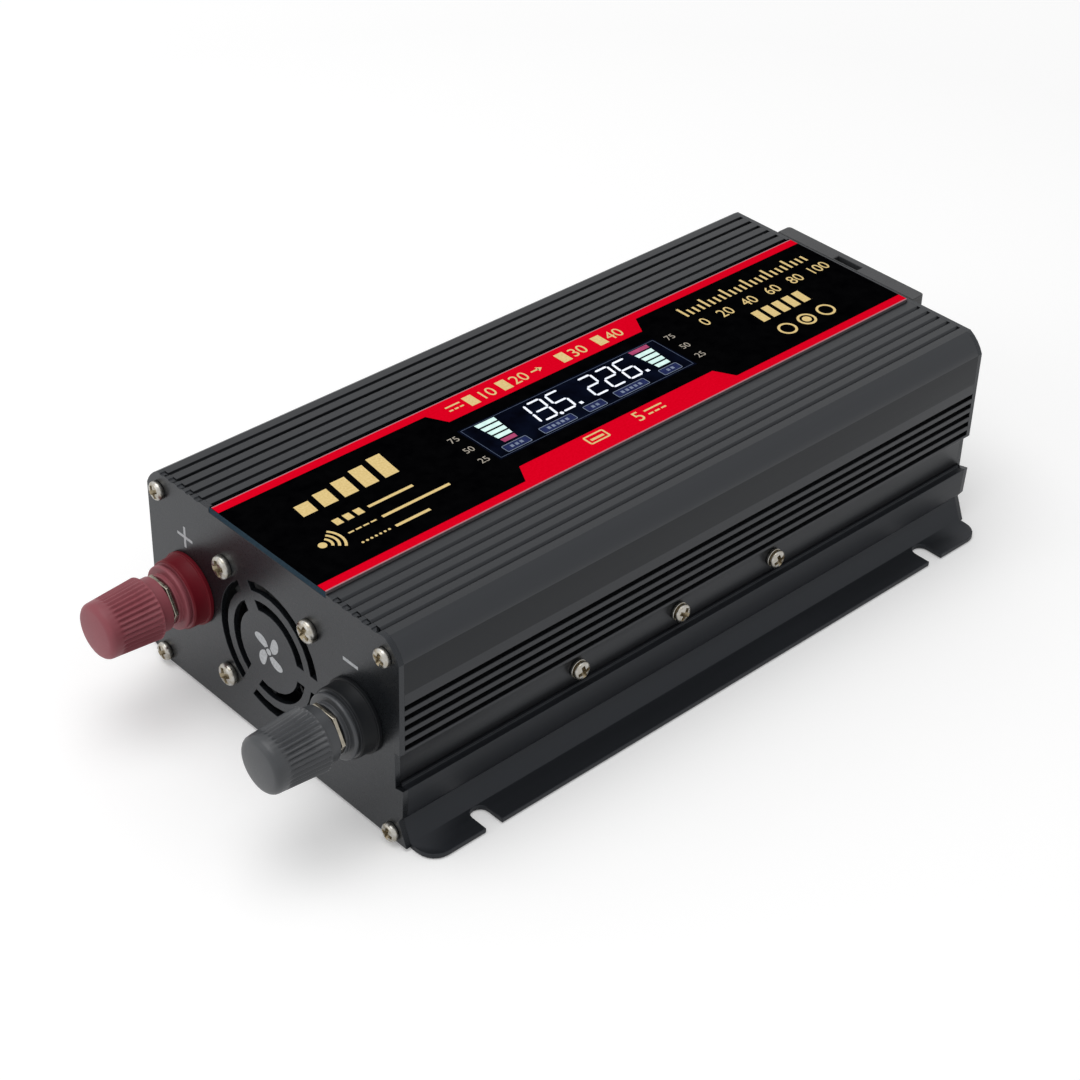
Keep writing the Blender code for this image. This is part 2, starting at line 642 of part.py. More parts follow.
def front_plate():
    """Stamped end plate: grille, fan screws, binding posts, and its top edge let down under the label."""
    label_end = [(CHANNEL_Y, HOUSING_HEIGHT), (CHANNEL_Y, CHANNEL_Z)]
    right = plate_outline() + roof_grooves(step_out=ROOF_STEP_LENGTH) + label_end
    left = plate_outline() + roof_grooves(step_in=ROOF_STEP_LENGTH) + label_end
    outline = mirrored(right, left)
    plate = add_part('front_plate', prism(outline, -PLATE_OUTER_X, -PLATE_INNER_X), 'black_anodised')
    low, high = -PLATE_OUTER_X - PLATE_THICKNESS, -PLATE_INNER_X + PLATE_THICKNESS
    holes = plate_screw_holes(-PLATE_INNER_X)
    for y, z in fan_screw_places():
        holes.append(rod_along_x(FAN_SCREW[0] + FIT_GAP, (y, z), low, high))
    for side in (-1, 1):
        centre = (side * TERMINAL_Y, TERMINAL_HEIGHT)
        holes.append(rod_along_x(TERMINAL_BOSS_RADIUS + FIT_GAP, centre, low, high, 20))
    holes += [prism(slot, low, high) for slot in grille_slots()]
    cut(plate, *holes)


def grille_slots():
    """Arc slots in rings, parted by straight bridges."""
    slots = []
    step = 2 * math.pi / GRILLE_BRIDGES
    centre = (FAN_OFFSET, FAN_HEIGHT)
    for ring in range(GRILLE_RINGS):
        outer = FAN_BORE_RADIUS - GRILLE_MARGIN - ring * GRILLE_PITCH
        inner = outer - GRILLE_SLOT
        outer_part = math.asin(GRILLE_BRIDGE / 2 / outer)
        inner_part = math.asin(GRILLE_BRIDGE / 2 / inner)
        for i in range(GRILLE_BRIDGES):
            start = math.pi + i * step
            end = start + step
            outline = arc(centre, outer, start + outer_part, end - outer_part, 11)
            outline += arc(centre, inner, end - inner_part, start + inner_part, 8)
            slots.append(outline)
    return slots


def rear_plate():
    """Stamped end plate with the opening that the outlet module plugs into."""
    half = plate_outline()
    plate = add_part('rear_plate', prism(mirrored(half), PLATE_INNER_X, PLATE_OUTER_X), 'black_anodised')
    opening = plug_outline(FIT_GAP)
    low, high = PLATE_INNER_X - PLATE_THICKNESS, PLATE_OUTER_X + PLATE_THICKNESS
    cut(plate, prism(opening, low, high), *plate_screw_holes(PLATE_INNER_X))


# Screws
def pan_head_screw(name, size):
    """Screw standing on the origin: domed head above, pointed thread below, cross recess on top."""
    radius, head, height, length = size
    point = 2 * radius
    profile = [(radius * SCREW_POINT_SHARE, -length), (radius, point - length), (radius, 0), (head, 0)]
    profile += [(head, height * SCREW_EDGE_SHARE), (head * SCREW_CROWN_SHARE, height)]
    screw = add_part(name, lathe(profile, 12), 'nickel_screw')
    depth = height - SCREW_RECESS_DEPTH
    for turn in (0, math.pi / 2):
        slot = prism(box(SCREW_RECESS_SHARE * head, SCREW_RECESS_WIDTH), depth, 2 * height, 'Z')
        cut(screw, shifted(slot, turn=turn), label='_slot')
    return bake(screw)


def screws(name, size, places):
    """Identical screws, each seated with its head on the named point. Places hold point and rotation."""
    mesh = pan_head_screw(name + '_1', size)
    for number, (point, rotation) in enumerate(places, 1):
        if number == 1:
            first = bpy.data.objects[name + '_1']
            first.location, first.rotation_euler = point, rotation
        else:
            place(f'{name}_{number}', mesh, point, rotation)


def fan_screw_places():
    corners = [(side * FAN_HOLE_Y, up * FAN_HOLE_Y) for up in (1, -1) for side in (1, -1)]
    return [(FAN_OFFSET + y, FAN_HEIGHT + z) for y, z in corners]


def all_screws():
    corners = [(side * y, z) for y, z in (COVER_SCREW, TRAY_SCREW) for side in (1, -1)]
    seat_x = PLATE_OUTER_X + FIT_GAP
    seat_y = BAND_Y + FIT_GAP
    screws('front_screw', PLATE_SCREW, [((-seat_x, y, z), OUTWARD_FRONT) for y, z in corners])
    screws('rear_screw', PLATE_SCREW, [((seat_x, y, z), OUTWARD_REAR) for y, z in corners])
    screws('fan_screw', FAN_SCREW, [((-seat_x, y, z), OUTWARD_FRONT) for y, z in fan_screw_places()])
    for name, side in (('side_screw_left', 1), ('side_screw_right', -1)):
        turn = (-side * math.pi / 2, 0, 0)
        screws(name, SIDE_SCREW, [((x, side * seat_y, SIDE_SCREW_Z), turn) for x in side_screw_places()])


# Label and display
def label_plate():
    """Printed panel in the roof channel, over the front plate's edge, with the display window."""
    outline = box(LABEL_WIDTH, LABEL_THICKNESS, (0, LABEL_Z + LABEL_THICKNESS / 2))
    label = add_part('label_plate', prism(outline, -PLATE_OUTER_X, HALF_LENGTH), 'label_print')
    window = box(LCD_LENGTH + 2 * FIT_GAP, LCD_WIDTH + 2 * FIT_GAP, (LCD_OFFSET, 0))
    cut(label, prism(window, LABEL_Z - LABEL_THICKNESS, LABEL_TOP_Z + LABEL_THICKNESS, 'Z'))


def display():
    """Clear lens, flush with the label, and the display module hung under it in the roof's cut-out."""
    lens = prism(box(LCD_LENGTH, LCD_WIDTH, (LCD_OFFSET, 0)), LABEL_Z, LABEL_TOP_Z, 'Z')
    add_part('lcd_window', lens, 'clear_lens')
    outline = box(LCD_LENGTH + 2 * LCD_BORDER, LCD_WIDTH + 2 * LCD_BORDER, (LCD_OFFSET, 0))
    add_part('lcd_module', prism(outline, CHANNEL_Z - LCD_DEPTH, CHANNEL_Z, 'Z'), 'display_glass')


# Fan. Its own Z points out through the front plate and is 0 at the frame's front face.
def fan_frame():
    """Square frame with a round duct, three struts and the bearing post at its back."""
    outline = rounded_box(FAN_SIZE, FAN_SIZE, FAN_CORNER)
    frame = add_part('fan_frame', prism(outline, -FAN_DEPTH, 0, 'Z'), 'fan_plastic', FAN_AXIS, OUTWARD_FRONT)
    back = FAN_BACK - FAN_DEPTH
    post_top = hub_inner_z() - FAN_POST_GAP
    duct = [(FAN_POST_RADIUS, post_top), (FAN_POST_RADIUS, back), (FAN_BORE_RADIUS, back),
            (FAN_BORE_RADIUS, FAN_BACK)]
    cut(frame, lathe(duct, 28), label='_duct')
    corners = [(side * FAN_HOLE_Y, up * FAN_HOLE_Y) for side in (-1, 1) for up in (-1, 1)]
    holes = [shifted(rod(FAN_SCREW[0] + FIT_GAP, -2 * FAN_DEPTH, FAN_DEPTH, 8), x, y) for x, y in corners]
    holes.append(rod(FAN_SHAFT_RADIUS + FIT_GAP, back + FIT_GAP, FAN_DEPTH, 12))
    holes += [prism(window, -2 * FAN_DEPTH, back + FAN_BACK / 4, 'Z') for window in strut_windows()]
    cut(frame, *holes)


def strut_windows():
    """The three openings between the struts at the back of the duct."""
    step = 2 * math.pi / 3
    outer, inner = FAN_BORE_RADIUS - FAN_WALL / 2, FAN_HUB_RADIUS - FAN_HUB_WALL
    outer_part = math.asin(FAN_STRUT / 2 / outer)
    inner_part = math.asin(FAN_STRUT / 2 / inner)
    windows = []
    for i in range(3):
        start, end = i * step, (i + 1) * step
        window = arc((0, 0), outer, start + outer_part, end - outer_part, 7)
        windows.append(window + arc((0, 0), inner, end - inner_part, start + inner_part, 5))
    return windows


def hub_inner_z():
    return -FAN_HUB_SET_BACK - FAN_HUB_WALL


def fan_rotor():
    """Cup-shaped hub with its shaft, and twisted blades around it."""
    back = FAN_BACK - FAN_DEPTH + 2 * FIT_GAP
    front, inner = -FAN_HUB_SET_BACK, hub_inner_z()
    bore = FAN_HUB_RADIUS - FAN_HUB_WALL
    profile = [(FAN_SHAFT_RADIUS, back), (FAN_SHAFT_RADIUS, inner), (bore, inner), (bore, back)]
    profile += [(FAN_HUB_RADIUS, back), (FAN_HUB_RADIUS, front - FAN_HUB_WALL / 2)]
    profile += [(FAN_HUB_RADIUS - FAN_HUB_WALL / 2, front)]
    rotor = add_part('fan_rotor', lathe(profile, 22), 'fan_plastic', FAN_AXIS, OUTWARD_FRONT)
    turns = [2 * math.pi * i / FAN_BLADES for i in range(FAN_BLADES)]
    fuse(rotor, *[shifted(fan_blade(front, back), turn=turn) for turn in turns])


def fan_blade(front, back):
    """One blade, lofted outward from inside the hub's wall, its chord turning as it goes."""
    root, tip = FAN_HUB_RADIUS - FAN_HUB_WALL / 2, FAN_BORE_RADIUS - FAN_TIP_GAP
    margin = FAN_BLADE_THICKNESS
    low, high = back + margin, front - margin
    rings = []
    for i in range(4):
        share = i / 3
        radius = root + (tip - root) * share
        sweep = FAN_BLADE_SWEEP - FAN_BLADE_TWIST * share / 2
        ring = []
        for side, chords in ((1, (-1, 0, 1)), (-1, (1, 0, -1))):
            for chord in chords:
                camber = FAN_BLADE_TWIST / 3 * (1 - chord * chord)
                angle = chord * sweep + camber + side * FAN_BLADE_THICKNESS / 2 / radius
                height = (low + high) / 2 + chord * (high - low) / 2
                ring.append((radius * math.cos(angle), radius * math.sin(angle), height))
        rings.append(ring)
    return loft(rings)


# Binding posts. Their own Z points out of the front plate and is 0 at its outer face.
def binding_post(name, side, plastic):
    """Insulated base, threaded stud, hexagonal clamp washer and fluted knob, with the nut inside."""
    at = (-PLATE_OUTER_X, side * TERMINAL_Y, TERMINAL_HEIGHT)
    add_part(f'{name}_terminal_base', terminal_base(), plastic, at, OUTWARD_FRONT)
    stud_low = NUT_Z - STUD_INSIDE
    tip = STUD_RADIUS / 4
    stud = [(STUD_RADIUS - tip, stud_low), (STUD_RADIUS, stud_low + tip)]
    stud += [(STUD_RADIUS, STUD_END_Z - tip), (STUD_RADIUS - tip, STUD_END_Z)]
    add_part(f'{name}_terminal_stud', lathe(stud, 12), 'nickel_brass', at, OUTWARD_FRONT)
    washer = hexagon_ring(WASHER_FLATS, WASHER_Z, WASHER_Z + WASHER_THICKNESS)
    add_part(f'{name}_terminal_washer', washer, 'nickel_brass', at, OUTWARD_FRONT)
    knob = add_part(f'{name}_terminal_knob', terminal_knob(), plastic, at, OUTWARD_FRONT)
    cut(knob, rod(STUD_HOLE_RADIUS, KNOB_Z - WASHER_THICKNESS, STUD_END_Z + KNOB_BORE_SPARE))
    low = INSULATOR_Z - INSULATOR_THICKNESS
    ring = [(STUD_HOLE_RADIUS, low), (INSULATOR_RADIUS, low)]
    ring += [(INSULATOR_RADIUS, INSULATOR_Z), (STUD_HOLE_RADIUS, INSULATOR_Z)]
    add_part(f'{name}_terminal_insulator', lathe(ring, 12, looped=True), 'nylon', at, OUTWARD_FRONT)
    nut = hexagon_ring(NUT_FLATS, NUT_Z - NUT_HEIGHT, NUT_Z)
    add_part(f'{name}_terminal_nut', nut, 'nickel_brass', at, OUTWARD_FRONT)


def terminal_base():
    """Turned base: rim on the plate, body, groove, ring and neck, and a boss that lines the plate's hole."""
    z = FIT_GAP
    rim_top = z + TERMINAL_RIM
    body_top = rim_top + TERMINAL_BODY
    groove_top = body_top + TERMINAL_GROOVE
    ring_top = groove_top + TERMINAL_RING
    neck_top = ring_top + TERMINAL_NECK
    soft = TERMINAL_RIM / 2
    groove = TERMINAL_RING_RADIUS - TERMINAL_GROOVE_DEPTH
    profile = [(STUD_HOLE_RADIUS, -PLATE_THICKNESS), (TERMINAL_BOSS_RADIUS, -PLATE_THICKNESS)]
    profile += [(TERMINAL_BOSS_RADIUS, z), (TERMINAL_RIM_RADIUS, z), (TERMINAL_RIM_RADIUS, rim_top)]
    profile += [(TERMINAL_BODY_RADIUS, rim_top), (TERMINAL_BODY_RADIUS, body_top - soft)]
    profile += [(TERMINAL_BODY_RADIUS - soft, body_top), (groove, body_top), (groove, groove_top)]
    profile += [(TERMINAL_RING_RADIUS, groove_top), (TERMINAL_RING_RADIUS, ring_top - soft)]
    profile += [(TERMINAL_RING_RADIUS - soft, ring_top), (TERMINAL_NECK_RADIUS, ring_top)]
    profile += [(TERMINAL_NECK_RADIUS, neck_top), (STUD_HOLE_RADIUS, neck_top)]
    return lathe(profile, 18, looped=True)


def hexagon_ring(flats, low, high):
    """Hexagonal nut or washer with a round hole and eased corners."""
    corner = flats / math.sqrt(3)
    ease = (high - low) / 6
    outer = [hexagon(corner - ease, low), hexagon(corner, low + ease)]
    outer += [hexagon(corner, high - ease), hexagon(corner - ease, high)]
    inner = [circle(STUD_HOLE_RADIUS, height, 12, HEXAGON_TURN) for height in (high, low)]
    return loft(outer + inner, looped=True)


def hexagon(corner, height):
    """Hexagon with two corners level, each side halved, so that it pairs with a circle of 12 points."""
    tips = circle(corner, height, 6, HEXAGON_TURN)
    points = []
    for (x0, y0, _), (x1, y1, _) in zip(tips, tips[1:] + tips[:1]):
        points += [(x0, y0, height), ((x0 + x1) / 2, (y0 + y1) / 2, height)]
    return points


def terminal_knob():
    """Knob: smooth collar, fluted grip that tapers outward, and a plain crowned end."""
    grip = KNOB_Z + KNOB_COLLAR
    end = KNOB_Z + KNOB_LENGTH
    shelf = end - KNOB_TIP_ROUND
    flute_low = grip + KNOB_FLUTE_START
    flute_high = flute_low + KNOB_FLUTE_LENGTH

    def taper(height):
        return KNOB_RADIUS + (KNOB_TIP_RADIUS - KNOB_RADIUS) * (height - grip) / (shelf - grip)

    def ring(radius, height, flute=0.0):
        points = circle(1.0, height, 2 * KNOB_FLUTES)
        reach = [radius - flute * (i % 2) for i in range(2 * KNOB_FLUTES)]
        return [(x * r, y * r, z) for (x, y, z), r in zip(points, reach)]

    rings = [ring(KNOB_COLLAR_RADIUS, KNOB_Z), ring(KNOB_COLLAR_RADIUS, grip), ring(KNOB_RADIUS, grip)]
    rings += [ring(taper(height), height, KNOB_FLUTE_DEPTH) for height in (flute_low, flute_high)]
    rings += [ring(taper(flute_high + KNOB_FLUTE_DEPTH), flute_high + KNOB_FLUTE_DEPTH)]
    for angle in (0, math.pi / 4, math.pi / 2):
        inset = KNOB_TIP_ROUND * (1 - math.cos(angle))
        rings.append(ring(KNOB_TIP_RADIUS - inset, shelf + KNOB_TIP_ROUND * math.sin(angle)))
    return loft(rings)


# Outlet end
def plug_outline(grow=0.0):
    """Outline, in y and z, of the part of the module that passes through the rear plate."""
    centre = (MODULE_OFFSET, (PLUG_TOP_Z + PLUG_BOTTOM_Z) / 2)
    return box(PLUG_WIDTH + 2 * grow, PLUG_TOP_Z - PLUG_BOTTOM_Z + 2 * grow, centre)


def outlet_module():
    """Moulded block on the rear plate: hollow plug with clips, and openings for socket, switch and USB."""
    half_width = MODULE_WIDTH / 2
    corner_x = MODULE_FACE_X - MODULE_CORNER
    plan = [(MODULE_X, -half_width)]
    plan += arc((corner_x, MODULE_CORNER - half_width), MODULE_CORNER, -math.pi / 2, 0, 5)
    plan += arc((corner_x, half_width - MODULE_CORNER), MODULE_CORNER, 0, math.pi / 2, 5)
    plan += [(MODULE_X, half_width)]
    block = prism([(x, y + MODULE_OFFSET) for x, y in plan], MODULE_BOTTOM_Z, HOUSING_HEIGHT, 'Z')
    module = add_part('outlet_module', block, 'black_abs')
    inner = MODULE_X - PLUG_LENGTH
    joint = MODULE_X + MODULE_THICKNESS / 3
    fuse(module, prism(plug_outline(), inner, joint), label='_plug')
    fuse(module, module_clip(1), module_clip(-1), label='_clips')
    past = MODULE_FACE_X + MODULE_THICKNESS
    hollow = prism(plug_outline(-PLUG_WALL), inner - PLUG_LENGTH, MODULE_X)
    cut(module, hollow, label='_hollow')
    start = MODULE_X - PLUG_WALL
    socket = box(SOCKET_WIDTH - 2 * SOCKET_RIM + 2 * FIT_GAP, SOCKET_BODY_HEIGHT + 2 * FIT_GAP,
                 (MODULE_OFFSET, SOCKET_Z))
    switch = box(SWITCH_BODY_WIDTH + 2 * FIT_GAP, SWITCH_BODY_HEIGHT + 2 * FIT_GAP, (SWITCH_Y, SWITCH_Z))
    usb = box(USB_WIDTH + 2 * FIT_GAP, USB_HEIGHT + 2 * FIT_GAP, (USB_Y, SWITCH_Z))
    slot = box(MODULE_SLOT_THICKNESS, MODULE_SLOT_WIDTH, (MODULE_X + MODULE_THICKNESS / 3, MODULE_OFFSET))
    pocket = prism(slot, HOUSING_HEIGHT - MODULE_SLOT_DEPTH, HOUSING_HEIGHT + MODULE_SLOT_DEPTH, 'Z')
    cut(module, *[prism(hole, start, past) for hole in (socket, switch, usb)], pocket)


def module_clip(side):
    """Ramped catch on one side of the plug, behind the rear plate."""
    y = MODULE_OFFSET + side * PLUG_HALF
    x = PLATE_INNER_X - FIT_GAP
    sunk = y - side * PLUG_WALL / 2
    outline = [(x, sunk), (x, y + side * CLIP_HEIGHT), (x - CLIP_RAMP, y), (x - CLIP_RAMP, sunk)]
    middle = (PLUG_TOP_Z + PLUG_BOTTOM_Z) / 2
    return prism(outline, middle - CLIP_LENGTH / 2, middle + CLIP_LENGTH / 2, 'Z')


def pin_holes():
    """Centres, from the socket's middle, of the two power holes and the earth hole."""
    return [(PIN_HOLE_SPREAD, PIN_HOLE_RISE), (-PIN_HOLE_SPREAD, PIN_HOLE_RISE), (0, -EARTH_HOLE_DROP)]


def ac_socket():
    """Multi-standard mains socket: rimmed insert with three deep pin holes and their spring contacts."""
    seat = MODULE_FACE_X + FIT_GAP
    face = seat + SOCKET_RIM_THICKNESS
    back = seat - SOCKET_DEPTH
    centre = (MODULE_OFFSET, SOCKET_Z)
    rim = prism(rounded_box(SOCKET_WIDTH, SOCKET_HEIGHT, SOCKET_CORNER, centre), seat, face)
    socket = add_part('ac_socket', rim, 'black_abs')
    body = box(SOCKET_WIDTH - 2 * SOCKET_RIM, SOCKET_BODY_HEIGHT, centre)
    fuse(socket, prism(body, back, seat + SOCKET_RIM_THICKNESS / 2), label='_body')
    holes = []
    for number, (y, z) in enumerate(pin_holes(), 1):
        place_yz = (MODULE_OFFSET + y, SOCKET_Z + z)
        hole = rounded_box(PIN_HOLE_WIDTH, PIN_HOLE_HEIGHT, PIN_HOLE_CORNER, place_yz, 3)
        holes.append(prism(hole, back - SOCKET_DEPTH, face + SOCKET_DEPTH))
        socket_contact(number, place_yz, back)
    cut(socket, *holes)


def socket_contact(number, place_yz, back):
    """Spring contact bent from strip: two leaves that pinch together and flare at the mouth."""
    y, z = place_yz
    half = PIN_HOLE_WIDTH / 2 - FIT_GAP
    tall = PIN_HOLE_HEIGHT - 2 * PIN_HOLE_CORNER
    pinch_x = back + CONTACT_LENGTH * 0.7
    mouth = back + CONTACT_LENGTH
    inner = half - CONTACT_METAL
    outside = [(half, back), (half, back + CONTACT_METAL), (half - CONTACT_PINCH, pinch_x), (half, mouth)]
    inside = [(inner, mouth), (inner - CONTACT_PINCH, pinch_x), (inner, back + 2 * CONTACT_METAL),
              (inner - CONTACT_METAL, back + CONTACT_METAL)]
    leaf = [(x, y + w) for w, x in outside + inside]
    leaf += [(x, y - w) for w, x in reversed(outside + inside)]
    strip = prism(leaf, z - tall / 2, z + tall / 2, 'Z')
    add_part(f'socket_contact_{number}', strip, 'nickel_brass')


def rocker_switch():
    """Switch housing with a bezel, and the rocker on its pivot pins, tilted to off."""
    seat = MODULE_FACE_X + FIT_GAP
    at = (seat, SWITCH_Y, SWITCH_Z)
    rim = rounded_box(SWITCH_HEIGHT, SWITCH_WIDTH, SWITCH_RIM)
    bezel = prism(rim, 0, SWITCH_RIM_THICKNESS, 'Z')
    housing = add_part('switch_housing', bezel, 'black_abs', at, OUTWARD_REAR)
    body = box(SWITCH_BODY_HEIGHT, SWITCH_BODY_WIDTH)
    fuse(housing, prism(body, -SWITCH_DEPTH, SWITCH_RIM_THICKNESS / 2, 'Z'), label='_body')
    pocket_height = SWITCH_BODY_HEIGHT - 2 * SWITCH_WALL
    pocket_width = SWITCH_BODY_WIDTH - 2 * SWITCH_WALL
    pocket = box(pocket_height, pocket_width)
    pocket_floor = SWITCH_RIM_THICKNESS - SWITCH_POCKET
    cut(housing, prism(pocket, pocket_floor, SWITCH_POCKET, 'Z'), label='_pocket')
    pivot = SWITCH_RIM_THICKNESS - ROCKER_PIVOT_DEPTH
    reach = pocket_height / 2 + ROCKER_PIN
    cut(housing, rod_along_x(ROCKER_PIN_RADIUS + FIT_GAP, (0, pivot), -reach, reach), label='_pivot')
    half = pocket_width / 2 - ROCKER_END_GAP
    keel = ROCKER_KEEL / 2
    shelf = ROCKER_RISE - 2 * ROCKER_DISH
    profile = [(-half, shelf), (-keel, -ROCKER_DROP), (keel, -ROCKER_DROP), (half, shelf)]
    profile += [(half, ROCKER_RISE), (0, ROCKER_RISE - ROCKER_DISH), (-half, ROCKER_RISE)]
    thick = pocket_height / 2 - FIT_GAP
    rocker_at = (seat + pivot, SWITCH_Y, SWITCH_Z)
    turn = (0, math.pi / 2, ROCKER_TILT)
    rocker = add_part('switch_rocker', prism(profile, -thick, thick), 'black_abs', rocker_at, turn)
    pin_end = reach - FIT_GAP
    fuse(rocker, rod_along_x(ROCKER_PIN_RADIUS, (0, 0), -pin_end, pin_end), label='_pins')


def usb_port():
    """Pressed steel shell and the plastic tongue inside it."""
    face = MODULE_FACE_X + USB_PROUD
    back = face - USB_DEPTH
    centre = (USB_Y, SWITCH_Z)
    outer = rounded_box(USB_WIDTH, USB_HEIGHT, 2 * USB_WALL, centre, 2)
    inner = rounded_box(USB_WIDTH - 2 * USB_WALL, USB_HEIGHT - 2 * USB_WALL, USB_WALL, centre, 2)
    rings = [[(x, y, z) for y, z in outline] for outline, x in
             ((outer, back), (outer, face), (inner, face), (inner, back))]
    add_part('usb_shell', loft(rings, looped=True), 'nickel_brass')
    gap = 2 * (USB_WALL + FIT_GAP)
    block = prism(box(USB_WIDTH - gap, USB_HEIGHT - gap, centre), back, back + USB_BACK)
    tongue = add_part('usb_tongue', block, 'black_abs')
    blade = box(USB_WIDTH - gap - 2 * USB_TONGUE_SIDE, USB_TONGUE_THICKNESS, centre)
    fuse(tongue, prism(blade, back + USB_BACK / 2, back + USB_BACK + USB_TONGUE_LENGTH), label='_blade')


# Inside
def circuit_board():
    """Board that slides in the tray's side grooves, behind the fan."""
    half = UPSTAND_INNER_Y + BOARD_GROOVE - FIT_GAP
    outline = box(2 * half, BOARD_THICKNESS, (0, BOARD_HEIGHT + BOARD_THICKNESS / 2))
    add_part('circuit_board', prism(outline, BOARD_FRONT_X, BOARD_REAR_X), 'board')


def transformers():
    """Ferrite cores with the winding bulging out at both sides."""
    first = BOARD_FRONT_X + TRANSFORMER_FROM_FRONT + TRANSFORMER_LENGTH / 2
    middle = PART_Z + TRANSFORMER_HEIGHT / 2
    for i in range(TRANSFORMER_COUNT):
        x = first + i * (TRANSFORMER_LENGTH + TRANSFORMER_GAP)
        outline = box(TRANSFORMER_HEIGHT, TRANSFORMER_LENGTH, (middle, x))
        core = prism(outline, -TRANSFORMER_WIDTH / 2, TRANSFORMER_WIDTH / 2, 'Y')
        part = add_part(f'transformer_{i + 1}', core, 'ferrite')
        width = TRANSFORMER_WIDTH + 2 * TRANSFORMER_BULGE
        inset = TRANSFORMER_CORE / 2
        winding = rounded_box(TRANSFORMER_LENGTH - 2 * TRANSFORMER_CORE, width, TRANSFORMER_CORE, (x, 0))
        low, high = PART_Z + inset, PART_Z + TRANSFORMER_HEIGHT - inset
        fuse(part, prism(winding, low, high, 'Z'), label='_winding')


def capacitors():
    """Electrolytic cans with the crimp near the board and a rolled top edge."""
    waist = CAPACITOR_RADIUS - CAPACITOR_CRIMP
    crimp_z = CAPACITOR_FOOT + CAPACITOR_CRIMP
    profile = [(CAPACITOR_RADIUS, 0), (CAPACITOR_RADIUS, CAPACITOR_FOOT), (waist, crimp_z)]
    profile += [(CAPACITOR_RADIUS, crimp_z + CAPACITOR_CRIMP)]
    profile += [(CAPACITOR_RADIUS, CAPACITOR_HEIGHT - CAPACITOR_CRIMP), (waist, CAPACITOR_HEIGHT)]
    x = BOARD_REAR_X - CAPACITOR_FROM_REAR - CAPACITOR_RADIUS
    for number, side in enumerate((1, -1), 1):
        at = (x, side * CAPACITOR_SPREAD, PART_Z)
        add_part(f'capacitor_{number}', lathe(profile, 10), 'capacitor_sleeve', at)


def heat_bars():
    """Finned bars along both walls, with the power transistors against them."""
    outer = UPSTAND_INNER_Y - HEAT_BAR_GAP
    inner = outer - HEAT_BAR_THICKNESS
    pitch = HEAT_BAR_HEIGHT / (HEAT_BAR_FINS + 1)
    half = [(inner, PART_Z), (outer, PART_Z)]
    for i in range(HEAT_BAR_FINS):
        low = PART_Z + (i + 1) * pitch - pitch / 4
        half += [(outer, low), (outer - HEAT_BAR_FIN, low)]
        half += [(outer - HEAT_BAR_FIN, low + pitch / 2), (outer, low + pitch / 2)]
    half += [(outer, PART_Z + HEAT_BAR_HEIGHT), (inner, PART_Z + HEAT_BAR_HEIGHT)]
    face = inner - FIT_GAP
    tab = face - TRANSISTOR_TAB
    body = face - TRANSISTOR_THICKNESS
    package = [(face, PART_Z), (face, PART_Z + TRANSISTOR_TAB_HEIGHT), (tab, PART_Z + TRANSISTOR_TAB_HEIGHT)]
    package += [(tab, PART_Z + TRANSISTOR_HEIGHT), (body, PART_Z + TRANSISTOR_HEIGHT), (body, PART_Z)]
    number = 0
    for name, side in (('left', 1), ('right', -1)):
        bar = [(side * y, z) for y, z in half]
        add_part(f'heat_bar_{name}', prism(bar, -HEAT_BAR_LENGTH / 2, HEAT_BAR_LENGTH / 2), 'aluminium')
        for x in (-TRANSISTOR_SPREAD, TRANSISTOR_SPREAD):
            number += 1
            outline = [(side * y, z) for y, z in package]
            low, high = x - TRANSISTOR_WIDTH / 2, x + TRANSISTOR_WIDTH / 2
            add_part(f'transistor_{number}', prism(outline, low, high), 'epoxy')


def main():
    clear_scene()
    upper_cover()
    lower_tray()
    front_plate()
    rear_plate()
    all_screws()
    label_plate()
    display()
    fan_frame()
    fan_rotor()
    binding_post('red', 1, 'red_knob')
    binding_post('black', -1, 'black_knob')
    outlet_module()
    ac_socket()
    rocker_switch()
    usb_port()
    circuit_board()
    transformers()
    capacitors()
    heat_bars()


main()
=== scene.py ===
"""Looks of the power inverter: finishes, print, fine fittings, light and camera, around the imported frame."""

import math

import bmesh
import bpy
from mathutils import Matrix, Vector


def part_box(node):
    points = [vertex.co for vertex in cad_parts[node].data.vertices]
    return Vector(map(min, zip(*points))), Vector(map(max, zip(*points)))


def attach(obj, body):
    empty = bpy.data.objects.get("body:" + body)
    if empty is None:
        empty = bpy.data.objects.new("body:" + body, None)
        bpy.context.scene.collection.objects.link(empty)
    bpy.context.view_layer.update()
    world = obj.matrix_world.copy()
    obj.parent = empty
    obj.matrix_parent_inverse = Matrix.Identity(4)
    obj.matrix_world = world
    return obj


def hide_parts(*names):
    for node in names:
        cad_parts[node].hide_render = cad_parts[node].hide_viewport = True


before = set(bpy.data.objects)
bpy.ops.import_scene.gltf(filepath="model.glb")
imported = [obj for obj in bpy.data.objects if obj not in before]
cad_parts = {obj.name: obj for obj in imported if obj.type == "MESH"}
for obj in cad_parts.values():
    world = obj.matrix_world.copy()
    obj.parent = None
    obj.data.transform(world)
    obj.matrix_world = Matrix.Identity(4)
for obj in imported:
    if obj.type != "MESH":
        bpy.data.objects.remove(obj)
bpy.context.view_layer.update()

MM = 0.001
PRINT_THICKNESS = 0.03 * MM
# Height of the font's numerals, as a share of its size
NUMERAL_HEIGHT = 0.69
# Most values of a noise lie between these
NOISE_LOW, NOISE_HIGH = 0.3, 0.7
# Edges under this angle are shaded as round
ROUNDED_ANGLE = math.radians(35)
# A point this near a plane lies in it, and points this near each other are one
NEAR = 0.01 * MM
WELD = 0.002 * MM
# How far shown pieces reach into the CAD's 0.3 mm fits, so that no dark seam shows
SEAM = 0.27 * MM

